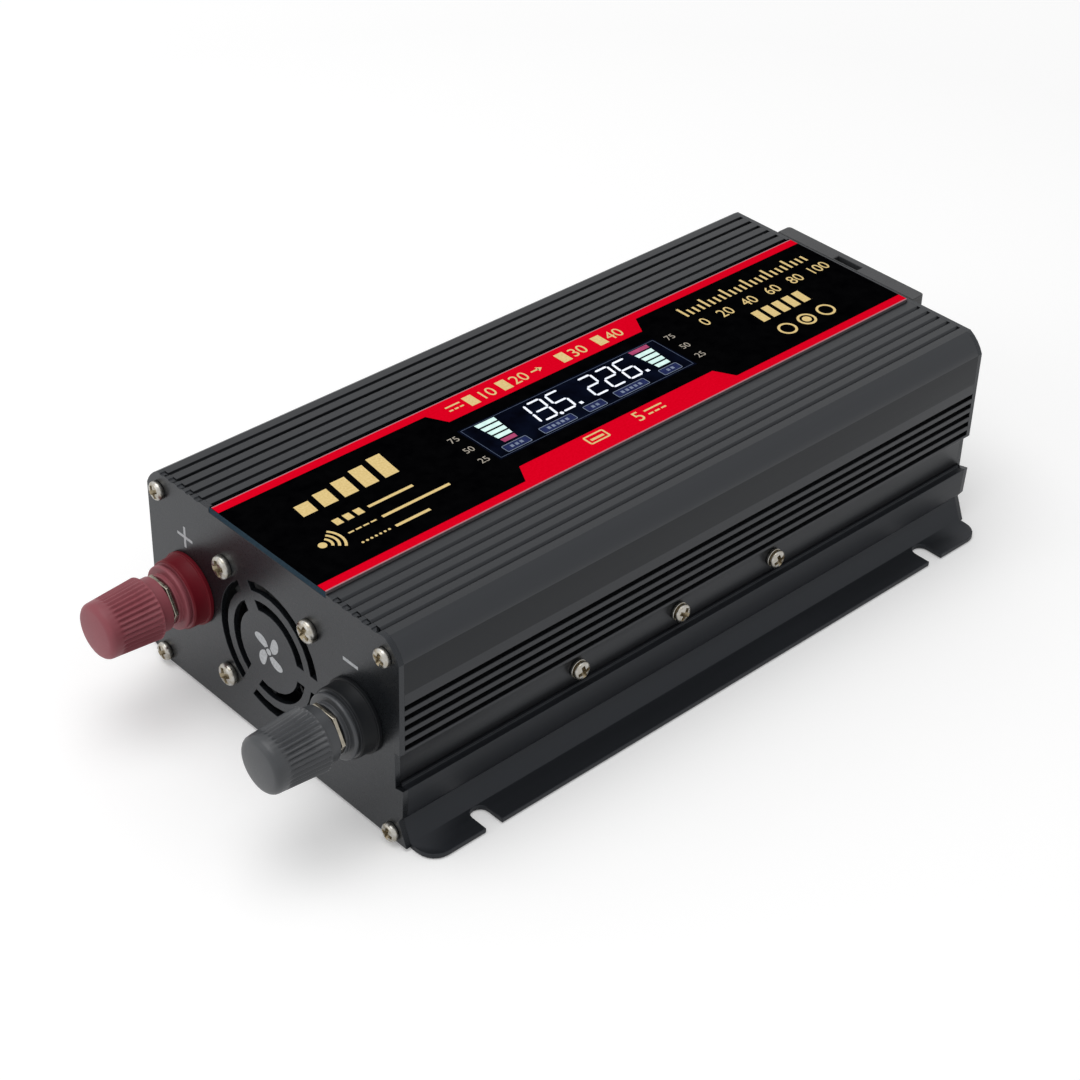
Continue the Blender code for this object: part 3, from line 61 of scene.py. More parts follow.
# Camera, in mm and degrees, from the perspective fit of the photograph
CAMERA_PLACE = (-358.5, -360.0, 382.0)
CAMERA_DIRECTION = (0.55975, 0.58475, -0.58716)
CAMERA_ROLL = 1.80
CAMERA_LENS = 80.66

LABEL_LOW, LABEL_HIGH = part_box('label_plate')
LENS_LOW, LENS_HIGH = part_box('lcd_window')
PLATE_LOW, PLATE_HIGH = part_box('front_plate')


# Shader helpers
def colour(code):
    """Linear colour of an sRGB hex code."""
    channels = [int(code[i:i + 2], 16) / 255 for i in (1, 3, 5)]
    linear = [c / 12.92 if c <= 0.04045 else ((c + 0.055) / 1.055) ** 2.4 for c in channels]
    return (*linear, 1.0)


def add(tree, kind, inputs=None, **settings):
    """Add a node with its settings. Inputs are values, or sockets to link from."""
    made = tree.nodes.new(kind)
    for name, value in settings.items():
        setattr(made, name, value)
    for name, value in (inputs or {}).items():
        if isinstance(value, bpy.types.NodeSocket):
            tree.links.new(value, made.inputs[name])
        else:
            made.inputs[name].default_value = value
    return made


def new_finish(name, grains=(), **sockets):
    """A material with one Principled shader, and patterns of noise at their real sizes.

    Each grain is the size of its blobs in mm, and how many times longer they are along the housing.
    """
    finish = bpy.data.materials.new(name)
    finish.use_nodes = True
    tree = finish.node_tree
    for socket, value in sockets.items():
        tree.nodes['Principled BSDF'].inputs[socket.replace('_', ' ')].default_value = value
    patterns = []
    for size_mm, stretch in grains:
        place = add(tree, 'ShaderNodeTexCoord').outputs['Object']
        scale = [1 / (size_mm * MM * along) for along in (stretch, 1, 1)]
        spread = add(tree, 'ShaderNodeMapping', {'Vector': place, 'Scale': scale}).outputs[0]
        noise = add(tree, 'ShaderNodeTexNoise', {'Vector': spread, 'Scale': 1.0, 'Detail': 3.0})
        patterns.append(noise.outputs[0])
    return finish, tree, patterns


def dress(tree, tone, low, high, gloss=None, relief=None):
    """Let the shader's colour go from low to high as the tone pattern does, and return that colour.

    gloss is the pattern that the roughness follows, with its lowest and highest value. relief is the pattern
    that raises the surface, with its depth in mm and its strength.
    """
    shader = tree.nodes['Principled BSDF']
    ramp = add(tree, 'ShaderNodeValToRGB', {'Fac': tone})
    first, last = ramp.color_ramp.elements
    first.position, first.color = NOISE_LOW, colour(low)
    last.position, last.color = NOISE_HIGH, colour(high)
    tree.links.new(ramp.outputs[0], shader.inputs['Base Color'])
    if gloss:
        pattern, smooth, rough = gloss
        span = {'From Min': NOISE_LOW, 'From Max': NOISE_HIGH, 'To Min': smooth, 'To Max': rough}
        ranged = add(tree, 'ShaderNodeMapRange', {'Value': pattern, **span})
        tree.links.new(ranged.outputs[0], shader.inputs['Roughness'])
    if relief:
        pattern, depth_mm, strength = relief
        raised = add(tree, 'ShaderNodeBump', {'Height': pattern, 'Distance': depth_mm * MM,
                                              'Strength': strength})
        tree.links.new(raised.outputs[0], shader.inputs['Normal'])
    return ramp.outputs[0]


# Finishes
COOL = colour('#f1f6ff')


def anodised_extrusion(name, low, high, shine, roughness):
    """Black anodised aluminium, extruded: near black under a satin sheen, drawn into faint die lines.

    The lines are 0.5 mm wide, coarser than a die leaves them, so that they show.
    """
    die_lines, clouds = (0.5, 120), (14, 4)
    finish, tree, (lines, cloud) = new_finish(name, [die_lines, clouds], Specular_IOR_Level=shine,
                                              Specular_Tint=COOL)
    both = add(tree, 'ShaderNodeMath', {0: lines, 1: cloud}, operation='ADD').outputs[0]
    mixed = add(tree, 'ShaderNodeMath', {0: both, 1: 0.5}, operation='MULTIPLY').outputs[0]
    dress(tree, mixed, low, high, (mixed, *roughness), (lines, 0.01, 0.2))
    return finish


def anodised_sheet(name, low, high):
    """Black anodised aluminium sheet, stamped: near black with a soft mirror in it, and a fine etched grain.

    The grain is 0.25 mm wide, coarser than the etch leaves it, so that it shows.
    """
    finish, tree, (cloud, etch) = new_finish(name, [(18, 1), (0.25, 1)], Specular_IOR_Level=0.42,
                                             Specular_Tint=COOL)
    dress(tree, cloud, low, high, (etch, 0.25, 0.35), (etch, 0.005, 0.2))
    return finish


def printed_panel(name, low, high):
    """Back-printed polyester panel: deep black with hardly any gloss of its own, faintly uneven."""
    finish, tree, (cloud,) = new_finish(name, [(3, 1)], Specular_IOR_Level=0.0)
    dress(tree, cloud, low, high, (cloud, 0.3, 0.4))
    return finish


def screen_ink(name, low, high):
    """Screen-printed ink: flat colour with the mesh's slight mottle.

    The mottle is drawn coarser than the mesh leaves it, so that it shows.
    """
    finish, tree, (mottle,) = new_finish(name, [(0.6, 1)], Specular_IOR_Level=0.0)
    dress(tree, mottle, low, high, (mottle, 0.35, 0.5))
    return finish


def display_glass(name, low, high):
    """Display behind its lens: almost black, with a navy cast that comes and goes."""
    finish, tree, (cloud,) = new_finish(name, [(6, 1)], Specular_IOR_Level=0.0)
    dress(tree, cloud, low, high, (cloud, 0.12, 0.2))
    return finish


def lit_segment(name, low, high, strength):
    """Display segment with the backlight through it: pale, even and a little brighter than paper."""
    finish, tree, (cloud,) = new_finish(name, [(1.5, 1)], Emission_Strength=strength,
                                        Specular_IOR_Level=0.03)
    glow = dress(tree, cloud, low, high)
    tree.links.new(glow, tree.nodes['Principled BSDF'].inputs['Emission Color'])
    return finish


def moulded_plastic(name, low, high, roughness=(0.4, 0.5), grit_mm=0.3, depth_mm=0.02, shine=0.5):
    """Injection-moulded plastic: one colour with a slow flow shade and the tool's fine spark grain.

    The grain is drawn coarser than the tool leaves it, so that it shows.
    """
    finish, tree, (flow, spark) = new_finish(name, [(9, 1), (grit_mm, 1)], Specular_IOR_Level=shine)
    dress(tree, flow, low, high, (spark, *roughness), (spark, depth_mm, 0.4))
    return finish


def plated_metal(name, low, high, roughness):
    """Plated metal: bright, slightly warm, clouded where hands and tools have been."""
    finish, tree, (cloud,) = new_finish(name, [(1.2, 1)], Metallic=1.0)
    dress(tree, cloud, low, high, (cloud, *roughness))
    return finish


BLACK_COVER = '#0c0d0e', '#131416'

FINISH = {
    'cover': anodised_extrusion('black_anodised_extrusion', *BLACK_COVER, 0.45, (0.32, 0.42)),
    # Copies of the cover finish with less and more shine: painted shade on the flat side panels, painted
    # highlight on the shoulders
    'side_panel': anodised_extrusion('painted_shade_black_anodised_panel', *BLACK_COVER, 0.27, (0.36, 0.46)),
    'shoulder': anodised_extrusion('painted_highlight_black_anodised_shoulder', *BLACK_COVER, 0.54, (0.32, 0.42)),
    'tray': anodised_extrusion('dull_black_anodised_extrusion', '#101215', '#17191d', 0.36, (0.46, 0.56)),
    'sheet': anodised_sheet('black_anodised_sheet', '#0f1113', '#16181b'),
    'panel': printed_panel('black_printed_panel', '#020203', '#060607'),
    # Painted highlights on the label's cut edges: blue-grey at the front end, grey on the near side
    'front_edge_highlight': screen_ink('blue_painted_highlight_edge', '#2b3a45', '#33434e'),
    'side_edge_highlight': screen_ink('grey_painted_highlight_edge', '#5f595b', '#736b6e'),
    # Pale print margin, widened along the label's near edge into a painted highlight
    'margin': screen_ink('pale_red_margin_and_edge_highlight', '#a2727a', '#b0808a'),
    'red_ink': screen_ink('red_screen_ink', '#d8001c', '#e40324'),
    'gold_ink': screen_ink('gold_screen_ink', '#d9bd7c', '#e9cf93'),
    'cream_ink': screen_ink('cream_screen_ink', '#9a9388', '#b5ada0'),
    'grey_ink': screen_ink('grey_screen_ink', '#a9abae', '#c2c4c6'),
    'display': display_glass('navy_display_glass', '#04050c', '#0b1020'),
    'white_segment': lit_segment('white_display_segment', '#dfe6f2', '#f4f7ff', 0.25),
    'mint_segment': lit_segment('mint_display_segment', '#c2e2dc', '#d8f2ec', 0.2),
    'pink_segment': lit_segment('pink_display_segment', '#9c3a62', '#b04c72', 0.1),
    'blue_segment': lit_segment('blue_display_segment', '#161e46', '#1f2a58', 0.05),
    'line_segment': lit_segment('grey_display_line', '#6a768d', '#818da3', 0.05),
    'frame_segment': lit_segment('dim_display_frame', '#3f4a60', '#545f76', 0.05),
    'red_plastic': moulded_plastic('red_moulded_plastic', '#814149', '#8d4951', (0.42, 0.52), shine=0.3),
    'black_plastic': moulded_plastic('black_moulded_plastic', '#36383b', '#404245', (0.32, 0.42),
                                     shine=0.45),
    # The posts' bases take darker copies of the knobs' plastics near the plate: painted shade
    'red_shaded_base_plastic': moulded_plastic('painted_shade_red_moulded_plastic', '#5c0f18', '#660f1c', shine=0.15),
    'black_shaded_base_plastic': moulded_plastic('painted_shade_black_moulded_plastic', '#0f1012', '#15171a', shine=0.15),
    'black_abs': moulded_plastic('black_abs', '#2a2b2d', '#333436', (0.45, 0.6)),
    'fan_plastic': moulded_plastic('black_glass_filled_nylon', '#08090a', '#101113', (0.5, 0.65)),
    'nylon': moulded_plastic('natural_nylon', '#c9c5b8', '#d8d4c8', (0.45, 0.6)),
    'epoxy': moulded_plastic('black_epoxy', '#141416', '#1d1d1f', (0.5, 0.7), 0.15),
    'sleeve': moulded_plastic('shrink_sleeve', '#151b2a', '#1d2536', (0.25, 0.35)),
    'laminate': moulded_plastic('green_lacquered_laminate', '#12401f', '#1a5029', (0.3, 0.45), 0.8),
    'ferrite': moulded_plastic('dull_ferrite', '#2a2a2b', '#38383a', (0.65, 0.8), 0.5, 0.05),
    'screw': plated_metal('nickel_plated_steel', '#978f7e', '#bcbbb8', (0.24, 0.38)),
    # Darker, duller steel for the faces inside the cross recess
    'recess': plated_metal('darker_recess_steel', '#857a66', '#a2977f', (0.4, 0.55)),
    'nickel': plated_metal('nickel_plated_brass', '#8b8578', '#aaa396', (0.2, 0.32)),
    'tin': plated_metal('tin_plated_steel', '#b4b5b6', '#c9cacb', (0.25, 0.4)),
    'mill': plated_metal('mill_finish_aluminium', '#bdbec0', '#cfd0d1', (0.35, 0.5)),
}


# Form helpers
def mesh_of(name, form):
    """A mesh of a bmesh, smooth where it is round."""
    mesh = bpy.data.meshes.new(name)
    form.to_mesh(mesh)
    form.free()
    mesh.shade_smooth()
    mesh.set_sharp_from_angle(angle=ROUNDED_ANGLE)
    return mesh


def show(name, form, finish, body='housing', matrix=None, replaced=()):
    """Make a shown piece of a bmesh, with its faces turned outward."""
    bmesh.ops.recalc_face_normals(form, faces=form.faces)
    return show_mesh(name, mesh_of(name, form), finish, body, matrix, replaced)


def show_mesh(name, mesh, finish, body='housing', matrix=None, replaced=()):
    """Make a shown piece of a mesh, which rides on a body and may stand for CAD nodes."""
    piece = bpy.data.objects.new(name, mesh)
    bpy.context.scene.collection.objects.link(piece)
    if not mesh.materials:
        mesh.materials.append(FINISH[finish])
    if matrix is not None:
        piece.matrix_world = matrix
    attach(piece, body)
    if replaced:
        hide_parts(*replaced)
    return piece


def loft(rings, looped=False, form=None):
    """Skin rings of points, capped at both ends or closed into a loop."""
    form = form or bmesh.new()
    loops = [[form.verts.new(point) for point in ring] for ring in rings]
    pairs = list(zip(loops, loops[1:]))
    if looped:
        pairs.append((loops[-1], loops[0]))
    else:
        form.faces.new(loops[0])
        form.faces.new(loops[-1])
    for lower, upper in pairs:
        for i in range(len(lower)):
            form.faces.new((lower[i - 1], lower[i], upper[i], upper[i - 1]))
    return form


def circle(radius, height, count):
    steps = [2 * math.pi * i / count for i in range(count)]
    return [(radius * math.cos(a), radius * math.sin(a), height) for a in steps]


def lathe(profile, count, looped=False):
    return loft([circle(r, z, count) for r, z in profile], looped)


def arc(centre, radius, start, end, steps):
    angles = [start + (end - start) * i / steps for i in range(steps + 1)]
    return [(centre[0] + radius * math.cos(a), centre[1] + radius * math.sin(a)) for a in angles]


# Eased copies of CAD solids
def eased(node, width_mm, finish, body='housing', stretch=(), sharp=(), reshape=None):
    """A copy of a CAD node with its sharp edges rounded, shown in the node's place.

    Points in a plane of stretch, (axis, old, new), move with it. Edges in a plane of sharp, (axis, at),
    stay sharp. A reshape function may move more points of the bmesh.
    """
    form = bmesh.new()
    form.from_mesh(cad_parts[node].data)
    bmesh.ops.remove_doubles(form, verts=form.verts, dist=WELD)
    bmesh.ops.dissolve_limit(form, angle_limit=math.radians(0.5), verts=form.verts, edges=form.edges)
    for axis, old, new in stretch:
        for vert in form.verts:
            if abs(vert.co[axis] - old) < NEAR:
                vert.co[axis] = new
    if reshape:
        reshape(form)
    weight = form.edges.layers.float.new('bevel_weight_edge')
    for edge in form.edges:
        kept = any(all(abs(vert.co[axis] - at) < NEAR for vert in edge.verts) for axis, at in sharp)
        if edge.is_convex and edge.calc_face_angle() > ROUNDED_ANGLE and not kept:
            edge[weight] = 1.0
    name = node + '_eased'
    piece = show_mesh(name, mesh_of(name, form), finish, body, replaced=[node])
    bevel = piece.modifiers.new('eased_edges', 'BEVEL')
    bevel.width = width_mm * MM
    bevel.segments = 2
    bevel.limit_method = 'WEIGHT'
    weighted = piece.modifiers.new('flat_faces', 'WEIGHTED_NORMAL')
    weighted.keep_sharp = True
    return piece


def refinish(finish, *nodes):
    """Give CAD nodes that are shown as they are a finish."""
    for node in nodes:
        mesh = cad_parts[node].data
        mesh.materials.clear()
        mesh.materials.append(FINISH[finish])


GROOVE_FLOOR = PLATE_HIGH.z - 0.8 * MM
# The inner wall of each roof groove leans over this share of its floor, and opens out this far at the roof
GROOVE_LEAN = 0.5
GROOVE_FLARE = 0.22 * MM
# Along its far side the label leaves a strip of its pocket open, as wide as a groove
POCKET_SIDE = LABEL_HIGH.y + 0.3 * MM
POCKET_GAP = 1.3 * MM
# The flat side panels, which carry painted shade, start at this height, and the rounded shoulders, which carry
# a painted highlight, this far from the middle
PANEL_FOOT = 44.0 * MM
SHOULDER_INSIDE = 42.2 * MM


def housing():
    """Extrusions, end plates and outlet block, with the small radii that dies and tools leave."""
    cover_low, cover_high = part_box('upper_cover')
    ends = [(0, cover_low.x), (0, cover_high.x)]
    cover = eased('upper_cover', 0.12, 'cover', sharp=ends, reshape=shape_cover)
    cover.data.materials.append(FINISH['side_panel'])
    cover.data.materials.append(FINISH['shoulder'])
    # Flat side panel faces take the painted shade, turned-up shoulder faces take the painted highlight
    for face in cover.data.polygons:
        outward, turned_up = abs(face.center.y), face.normal.z > 0.2
        if outward > cover_high.y - NEAR and face.center.z > PANEL_FOOT:
            face.material_index = 1
        elif outward > SHOULDER_INSIDE and turned_up and face.center.z > PANEL_FOOT:
            face.material_index = 2
    eased('lower_tray', 0.15, 'tray', sharp=ends)
    front_x, rear_x = PLATE_HIGH.x + SEAM, -PLATE_HIGH.x - SEAM
    eased('front_plate', 0.1, 'sheet', stretch=[(0, PLATE_HIGH.x, front_x)], sharp=[(0, front_x)],
          reshape=ramp_notches)
    eased('rear_plate', 0.1, 'sheet', stretch=[(0, -PLATE_HIGH.x, rear_x)], sharp=[(0, rear_x)])
    label()
    lens_sides = []
    for corner, step in ((LENS_LOW, -SEAM), (LENS_HIGH, SEAM)):
        lens_sides += [(axis, corner[axis], corner[axis] + step) for axis in (0, 1)]
    eased('lcd_window', 0.05, 'display', stretch=lens_sides)
    eased('outlet_module', 0.35, 'black_abs')
    eased('ac_socket', 0.3, 'black_abs')
    eased('switch_housing', 0.25, 'black_abs')
    eased('switch_rocker', 0.3, 'black_abs', 'rocker')
    eased('usb_shell', 0.1, 'tin')
    eased('fan_frame', 0.2, 'fan_plastic')
    eased('fan_rotor', 0.15, 'fan_plastic', 'fan')
    for side in ('red', 'black'):
        eased(f'{side}_terminal_washer', 0.12, 'nickel', f'{side}_clamp')
        refinish('nickel', f'{side}_terminal_nut', f'{side}_terminal_stud')
        refinish('nylon', f'{side}_terminal_insulator')
    refinish('display', 'lcd_module')
    refinish('nickel', 'socket_contact_1', 'socket_contact_2', 'socket_contact_3')
    refinish('black_abs', 'usb_tongue')
    refinish('laminate', 'circuit_board')
    refinish('ferrite', 'transformer_1', 'transformer_2')
    refinish('sleeve', 'capacitor_1', 'capacitor_2')
    refinish('mill', 'heat_bar_left', 'heat_bar_right')
    refinish('epoxy', 'transistor_1', 'transistor_2', 'transistor_3', 'transistor_4')


def shape_cover(form):
    """Lean the inner walls of the roof grooves, open the label's pocket and part off the side panels, which
    carry painted shade.
    """
    floor_points = [vert for vert in form.verts if abs(vert.co.z - GROOVE_FLOOR) < NEAR]
    roof_points = [vert for vert in form.verts if abs(vert.co.z - PLATE_HIGH.z) < NEAR]
    places = sorted({round(abs(vert.co.y), 6) for vert in floor_points})
    for inner, outer in zip(places[::2], places[1::2]):
        for points, step in ((floor_points, GROOVE_LEAN * (outer - inner)), (roof_points, -GROOVE_FLARE)):
            for vert in points:
                if abs(abs(vert.co.y) - inner) < NEAR:
                    vert.co.y = math.copysign(inner + step, vert.co.y)
    for vert in form.verts:
        if abs(vert.co.y - POCKET_SIDE) < NEAR:
            vert.co.y += POCKET_GAP
    half_width = max(vert.co.y for vert in form.verts)
    sides = [face for face in form.faces if all(abs(vert.co.y) > half_width - NEAR for vert in face.verts)]
    edges = dict.fromkeys(edge for face in sides for edge in face.edges)
    corners = dict.fromkeys(vert for face in sides for vert in face.verts)
    bmesh.ops.bisect_plane(form, geom=[*corners, *edges, *sides], plane_co=(0, 0, PANEL_FOOT),
                           plane_no=(0, 0, 1))


def ramp_notches(form):
    """Let the front plate's roof notches run out towards its outer face."""
    for vert in form.verts:
        if abs(vert.co.z - GROOVE_FLOOR) < NEAR and abs(vert.co.x - PLATE_LOW.x) < NEAR:
            vert.co.z = max(edge.other_vert(vert).co.z for edge in vert.link_edges)
    bmesh.ops.remove_doubles(form, verts=form.verts, dist=WELD)


def label():
    """Printed panel laid into the roof, with a painted highlight on its cut edge: grey along the near side and
    blue-grey at its front end.
    """
    near_side = LABEL_LOW.y - SEAM
    reach = [(2, LABEL_LOW.z, LABEL_LOW.z - SEAM), (1, LABEL_LOW.y, near_side)]
    panel = eased('label_plate', 0.1, 'panel', stretch=reach, sharp=[(1, near_side), (1, LABEL_HIGH.y)])
    panel.data.materials.append(FINISH['side_edge_highlight'])
    panel.data.materials.append(FINISH['front_edge_highlight'])
    # Only the near side and the front end take the painted highlight; the other sides stay black
    for face in panel.data.polygons:
        if face.center.y < near_side + NEAR:
            face.material_index = 1
        elif face.center.x < LABEL_LOW.x + NEAR:
            face.material_index = 2


# Screws. The further this is under 1, the fuller the edges of their domes.
DOME_POWER = 0.6


def screw_mesh(name, head, height, shank, length, washer=0.0):
    """Pan-head screw on its seat, in mm: flat dome, tapered cross recess, and a washer if it has one."""
    edge, foot = washer + 0.8 if washer else 0.4 * height, -SEAM / MM
    turns = [math.radians(turn) for turn in (0, 18, 36, 54, 70, 82)]
    dome = [(head * math.cos(turn) ** DOME_POWER, edge + (height - edge) * math.sin(turn)) for turn in turns]
    profile = [(0.2 * shank, -length), (shank, 2 * shank - length), (shank, foot), (head - 0.3, foot)]
    profile += [(head - 0.08, foot + 0.1), (head, foot + 0.3)]
    if washer:
        profile += [(head, washer - 0.1), (head - 0.1, washer), (head - 0.75, washer)]
        profile += [(head - 0.75, washer + 0.6), (head - 0.25, washer + 0.6), (head, washer + 0.75)]
    profile += dome
    form = lathe([(r * MM, z * MM) for r, z in profile], 40)
    bmesh.ops.recalc_face_normals(form, faces=form.faces)
    blank = bpy.data.objects.new(name, mesh_of(name, form))
    bpy.context.scene.collection.objects.link(blank)
    cutters = []
    for turn in (0, math.pi / 2):
        cutter = bpy.data.objects.new(name + '_cutter', recess_mesh(head, height))
        bpy.context.scene.collection.objects.link(cutter)
        cutter.rotation_euler.z = turn
        modifier = blank.modifiers.new('recess', 'BOOLEAN')
        modifier.object = cutter
        modifier.solver = 'EXACT'
        cutters.append(cutter)
    bpy.context.view_layer.update()
    graph = bpy.context.evaluated_depsgraph_get()
    cut = bpy.data.meshes.new_from_object(blank.evaluated_get(graph))
    for item in (blank, *cutters):
        bpy.data.objects.remove(item)
    cut.materials.append(FINISH['screw'])
    cut.materials.append(FINISH['recess'])
    # Faces inside the cross recess take the darker steel
    for face in cut.polygons:
        across = math.hypot(face.center.x, face.center.y) / (head * MM)
        dome_height = edge + (height - edge) * math.sqrt(max(0.0, 1 - across ** (2 / DOME_POWER)))
        if across < 0.9 and 0 < face.center.z < (dome_height - 0.12) * MM:
            face.material_index = 1
    cut.shade_smooth()
    cut.set_sharp_from_angle(angle=ROUNDED_ANGLE)
    return cut


def recess_mesh(head, height):
    """One tapered bar of the cross recess."""
    depth = 0.55 * height
    foot, mouth = (0.4 * head, 0.3 * head, height - depth), (1.15 * head, 0.6 * head, height + depth)
    corners = ((-1, -1), (1, -1), (1, 1), (-1, 1))
    rings = []
    for reach, width, z in (foot, mouth):
        rings.append([(u * reach * MM, v * width / 2 * MM, z * MM) for u, v in corners])
    form = loft(rings)
    bmesh.ops.recalc_face_normals(form, faces=form.faces)
    return mesh_of('recess', form)


def screws():
    """Every screw of the housing, each turned by its own angle as a hand driver leaves it."""
    # Radius and height of the head, radius and length of the shank, and the washer's thickness, in mm
    sizes = {'fan_screw': (3.0, 1.8, 1.7, 10.0), 'front_screw': (2.45, 1.6, 1.3, 8.0),
             'rear_screw': (2.45, 1.6, 1.3, 8.0), 'side_screw': (2.45, 2.3, 1.3, 5.5, 0.55)}
    meshes = {family: screw_mesh(family + '_head', *size) for family, size in sizes.items()}
    nodes = sorted(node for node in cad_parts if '_screw_' in node)
    for number, node in enumerate(nodes):
        family = node.split('_screw_')[0] + '_screw'
        low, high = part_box(node)
        middle = (low + high) / 2
        head_height = sizes[family][1] * MM
        if family == 'side_screw':
            side = 1 if middle.y > 0 else -1
            seat = Vector((middle.x, (high.y if side > 0 else low.y) - side * head_height, middle.z))
            turned = Matrix.Rotation(-side * math.pi / 2, 4, 'X')
        else:
            end = 1 if middle.x > 0 else -1
            seat = Vector(((high.x if end > 0 else low.x) - end * head_height, middle.y, middle.z))
            turned = Matrix.Rotation(end * math.pi / 2, 4, 'Y')
        driven = 0.35 + 2.4 * number
        mesh = meshes[family].copy()
        mesh.transform(Matrix.Rotation(driven, 4, 'Z'))
        show_mesh(node + '_fine', mesh, 'screw',
                  matrix=Matrix.Translation(seat) @ turned, replaced=[node])


# Binding posts
# Below this height the base keeps its painted shade, above it the base takes the knob's plastic
BASE_SHOULDER = 5.1 * MM


def binding_posts():
    """Fluted knobs and turned bases of both posts, in the finer form that the mould gives."""
    for side in ('red', 'black'):
        knob_low, knob_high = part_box(f'{side}_terminal_knob')
        centre = (knob_low + knob_high) / 2
        outward = Matrix.Rotation(-math.pi / 2, 4, 'Y')
        base_at = Matrix.Translation((PLATE_LOW.x, centre.y, centre.z)) @ outward
        base = show(f'{side}_post_base', post_base(), f'{side}_shaded_base_plastic',
                    matrix=base_at, replaced=[f'{side}_terminal_base'])
        base.data.materials.append(FINISH[f'{side}_plastic'])
        # Faces above the shoulder take the knob's plastic; the rest keep the painted shade
        for face in base.data.polygons:
            if face.center.z > BASE_SHOULDER:
                face.material_index = 1
        knob_at = Matrix.Translation((knob_high.x, centre.y, centre.z)) @ outward
        show(f'{side}_post_knob', post_knob(), f'{side}_plastic', f'{side}_knob', knob_at,
             [f'{side}_terminal_knob'])


def post_base():
    """Turned base in mm above the plate: rim, body, groove, ring and neck, with moulded edge radii."""
    bore, boss, wall = 3.3, 4.7, 1.2
    profile = [(bore, -wall), (boss, -wall), (boss, 0.03), (9.4, 0.03)]
    profile += [(9.5, 0.13), (9.5, 0.95), (9.35, 1.1), (9.05, 1.15), (8.95, 1.3)]
    profile += [(8.9, 4.5)] + [(8.5 + u, 4.7 + v) for u, v in arc((0, 0), 0.4, 0, math.pi / 2, 4)]
    profile += [(7.5, 5.15), (7.4, 5.25), (7.4, 5.6), (7.5, 5.7)]
    profile += [(7.95, 5.7)] + [(7.9 + u, 6.1 + v) for u, v in arc((0, 0), 0.4, -math.pi / 2, 0, 3)]
    profile += [(7.9 + u, 6.5 + v) for u, v in arc((0, 0), 0.4, 0, math.pi / 2, 3)]
    profile += [(6.5, 6.9), (6.4, 7.0), (6.4, 7.7), (6.2, 7.9), (bore, 7.9)]
    return lathe([(r * MM, z * MM) for r, z in profile], 96, looped=True)


def post_knob():
    """Knob from its collar outward, in mm: round-bottomed flutes that run out at both ends, crowned tip."""
    flutes, per_flute = 36, 8
    count = flutes * per_flute
    bore, depth, engagement = 3.3, 0.52, 12.3
    collar, grip, length = 7.0, 3.3, 18.1
    flute_low, flute_high = grip + 0.25, grip + 11.5
    shelf = length - 1.9

    def ring(radius, z, cut=0.0):
        points = []
        for i in range(count):
            wave = 0.5 + 0.5 * math.cos(2 * math.pi * i / per_flute)
            r = radius - cut * wave
            a = 2 * math.pi * i / count
            points.append((r * math.cos(a) * MM, r * math.sin(a) * MM, z * MM))
        return points

    def taper(z):
        return 8.1 - 0.9 * (z - grip) / (shelf - grip)

    rings = [ring(bore, engagement), ring(bore, 0), ring(collar - 0.2, 0), ring(collar, 0.2)]
    rings += [ring(collar, grip - 0.15), ring(collar + 0.15, grip), ring(8.0, grip), ring(8.1, grip + 0.1)]
    rings.append(ring(taper(flute_low), flute_low, 0.5 * depth))
    rings += [ring(taper(z), z, depth) for z in (flute_low + 0.35, grip + 4.0, flute_high - 1.8)]
    for back, share in ((1.2, 0.85), (0.7, 0.55), (0.3, 0.2), (0.0, 0.0)):
        rings.append(ring(taper(flute_high - back), flute_high - back, share * depth))
    for step in range(6):
        angle = step * math.pi / 10
        rings.append(ring(7.2 - 1.7 * (1 - math.cos(angle)), shelf + 1.6 * math.sin(angle)))
    rings += [ring(3.6, length - 0.08), ring(1.0, length)]
    return loft(rings)


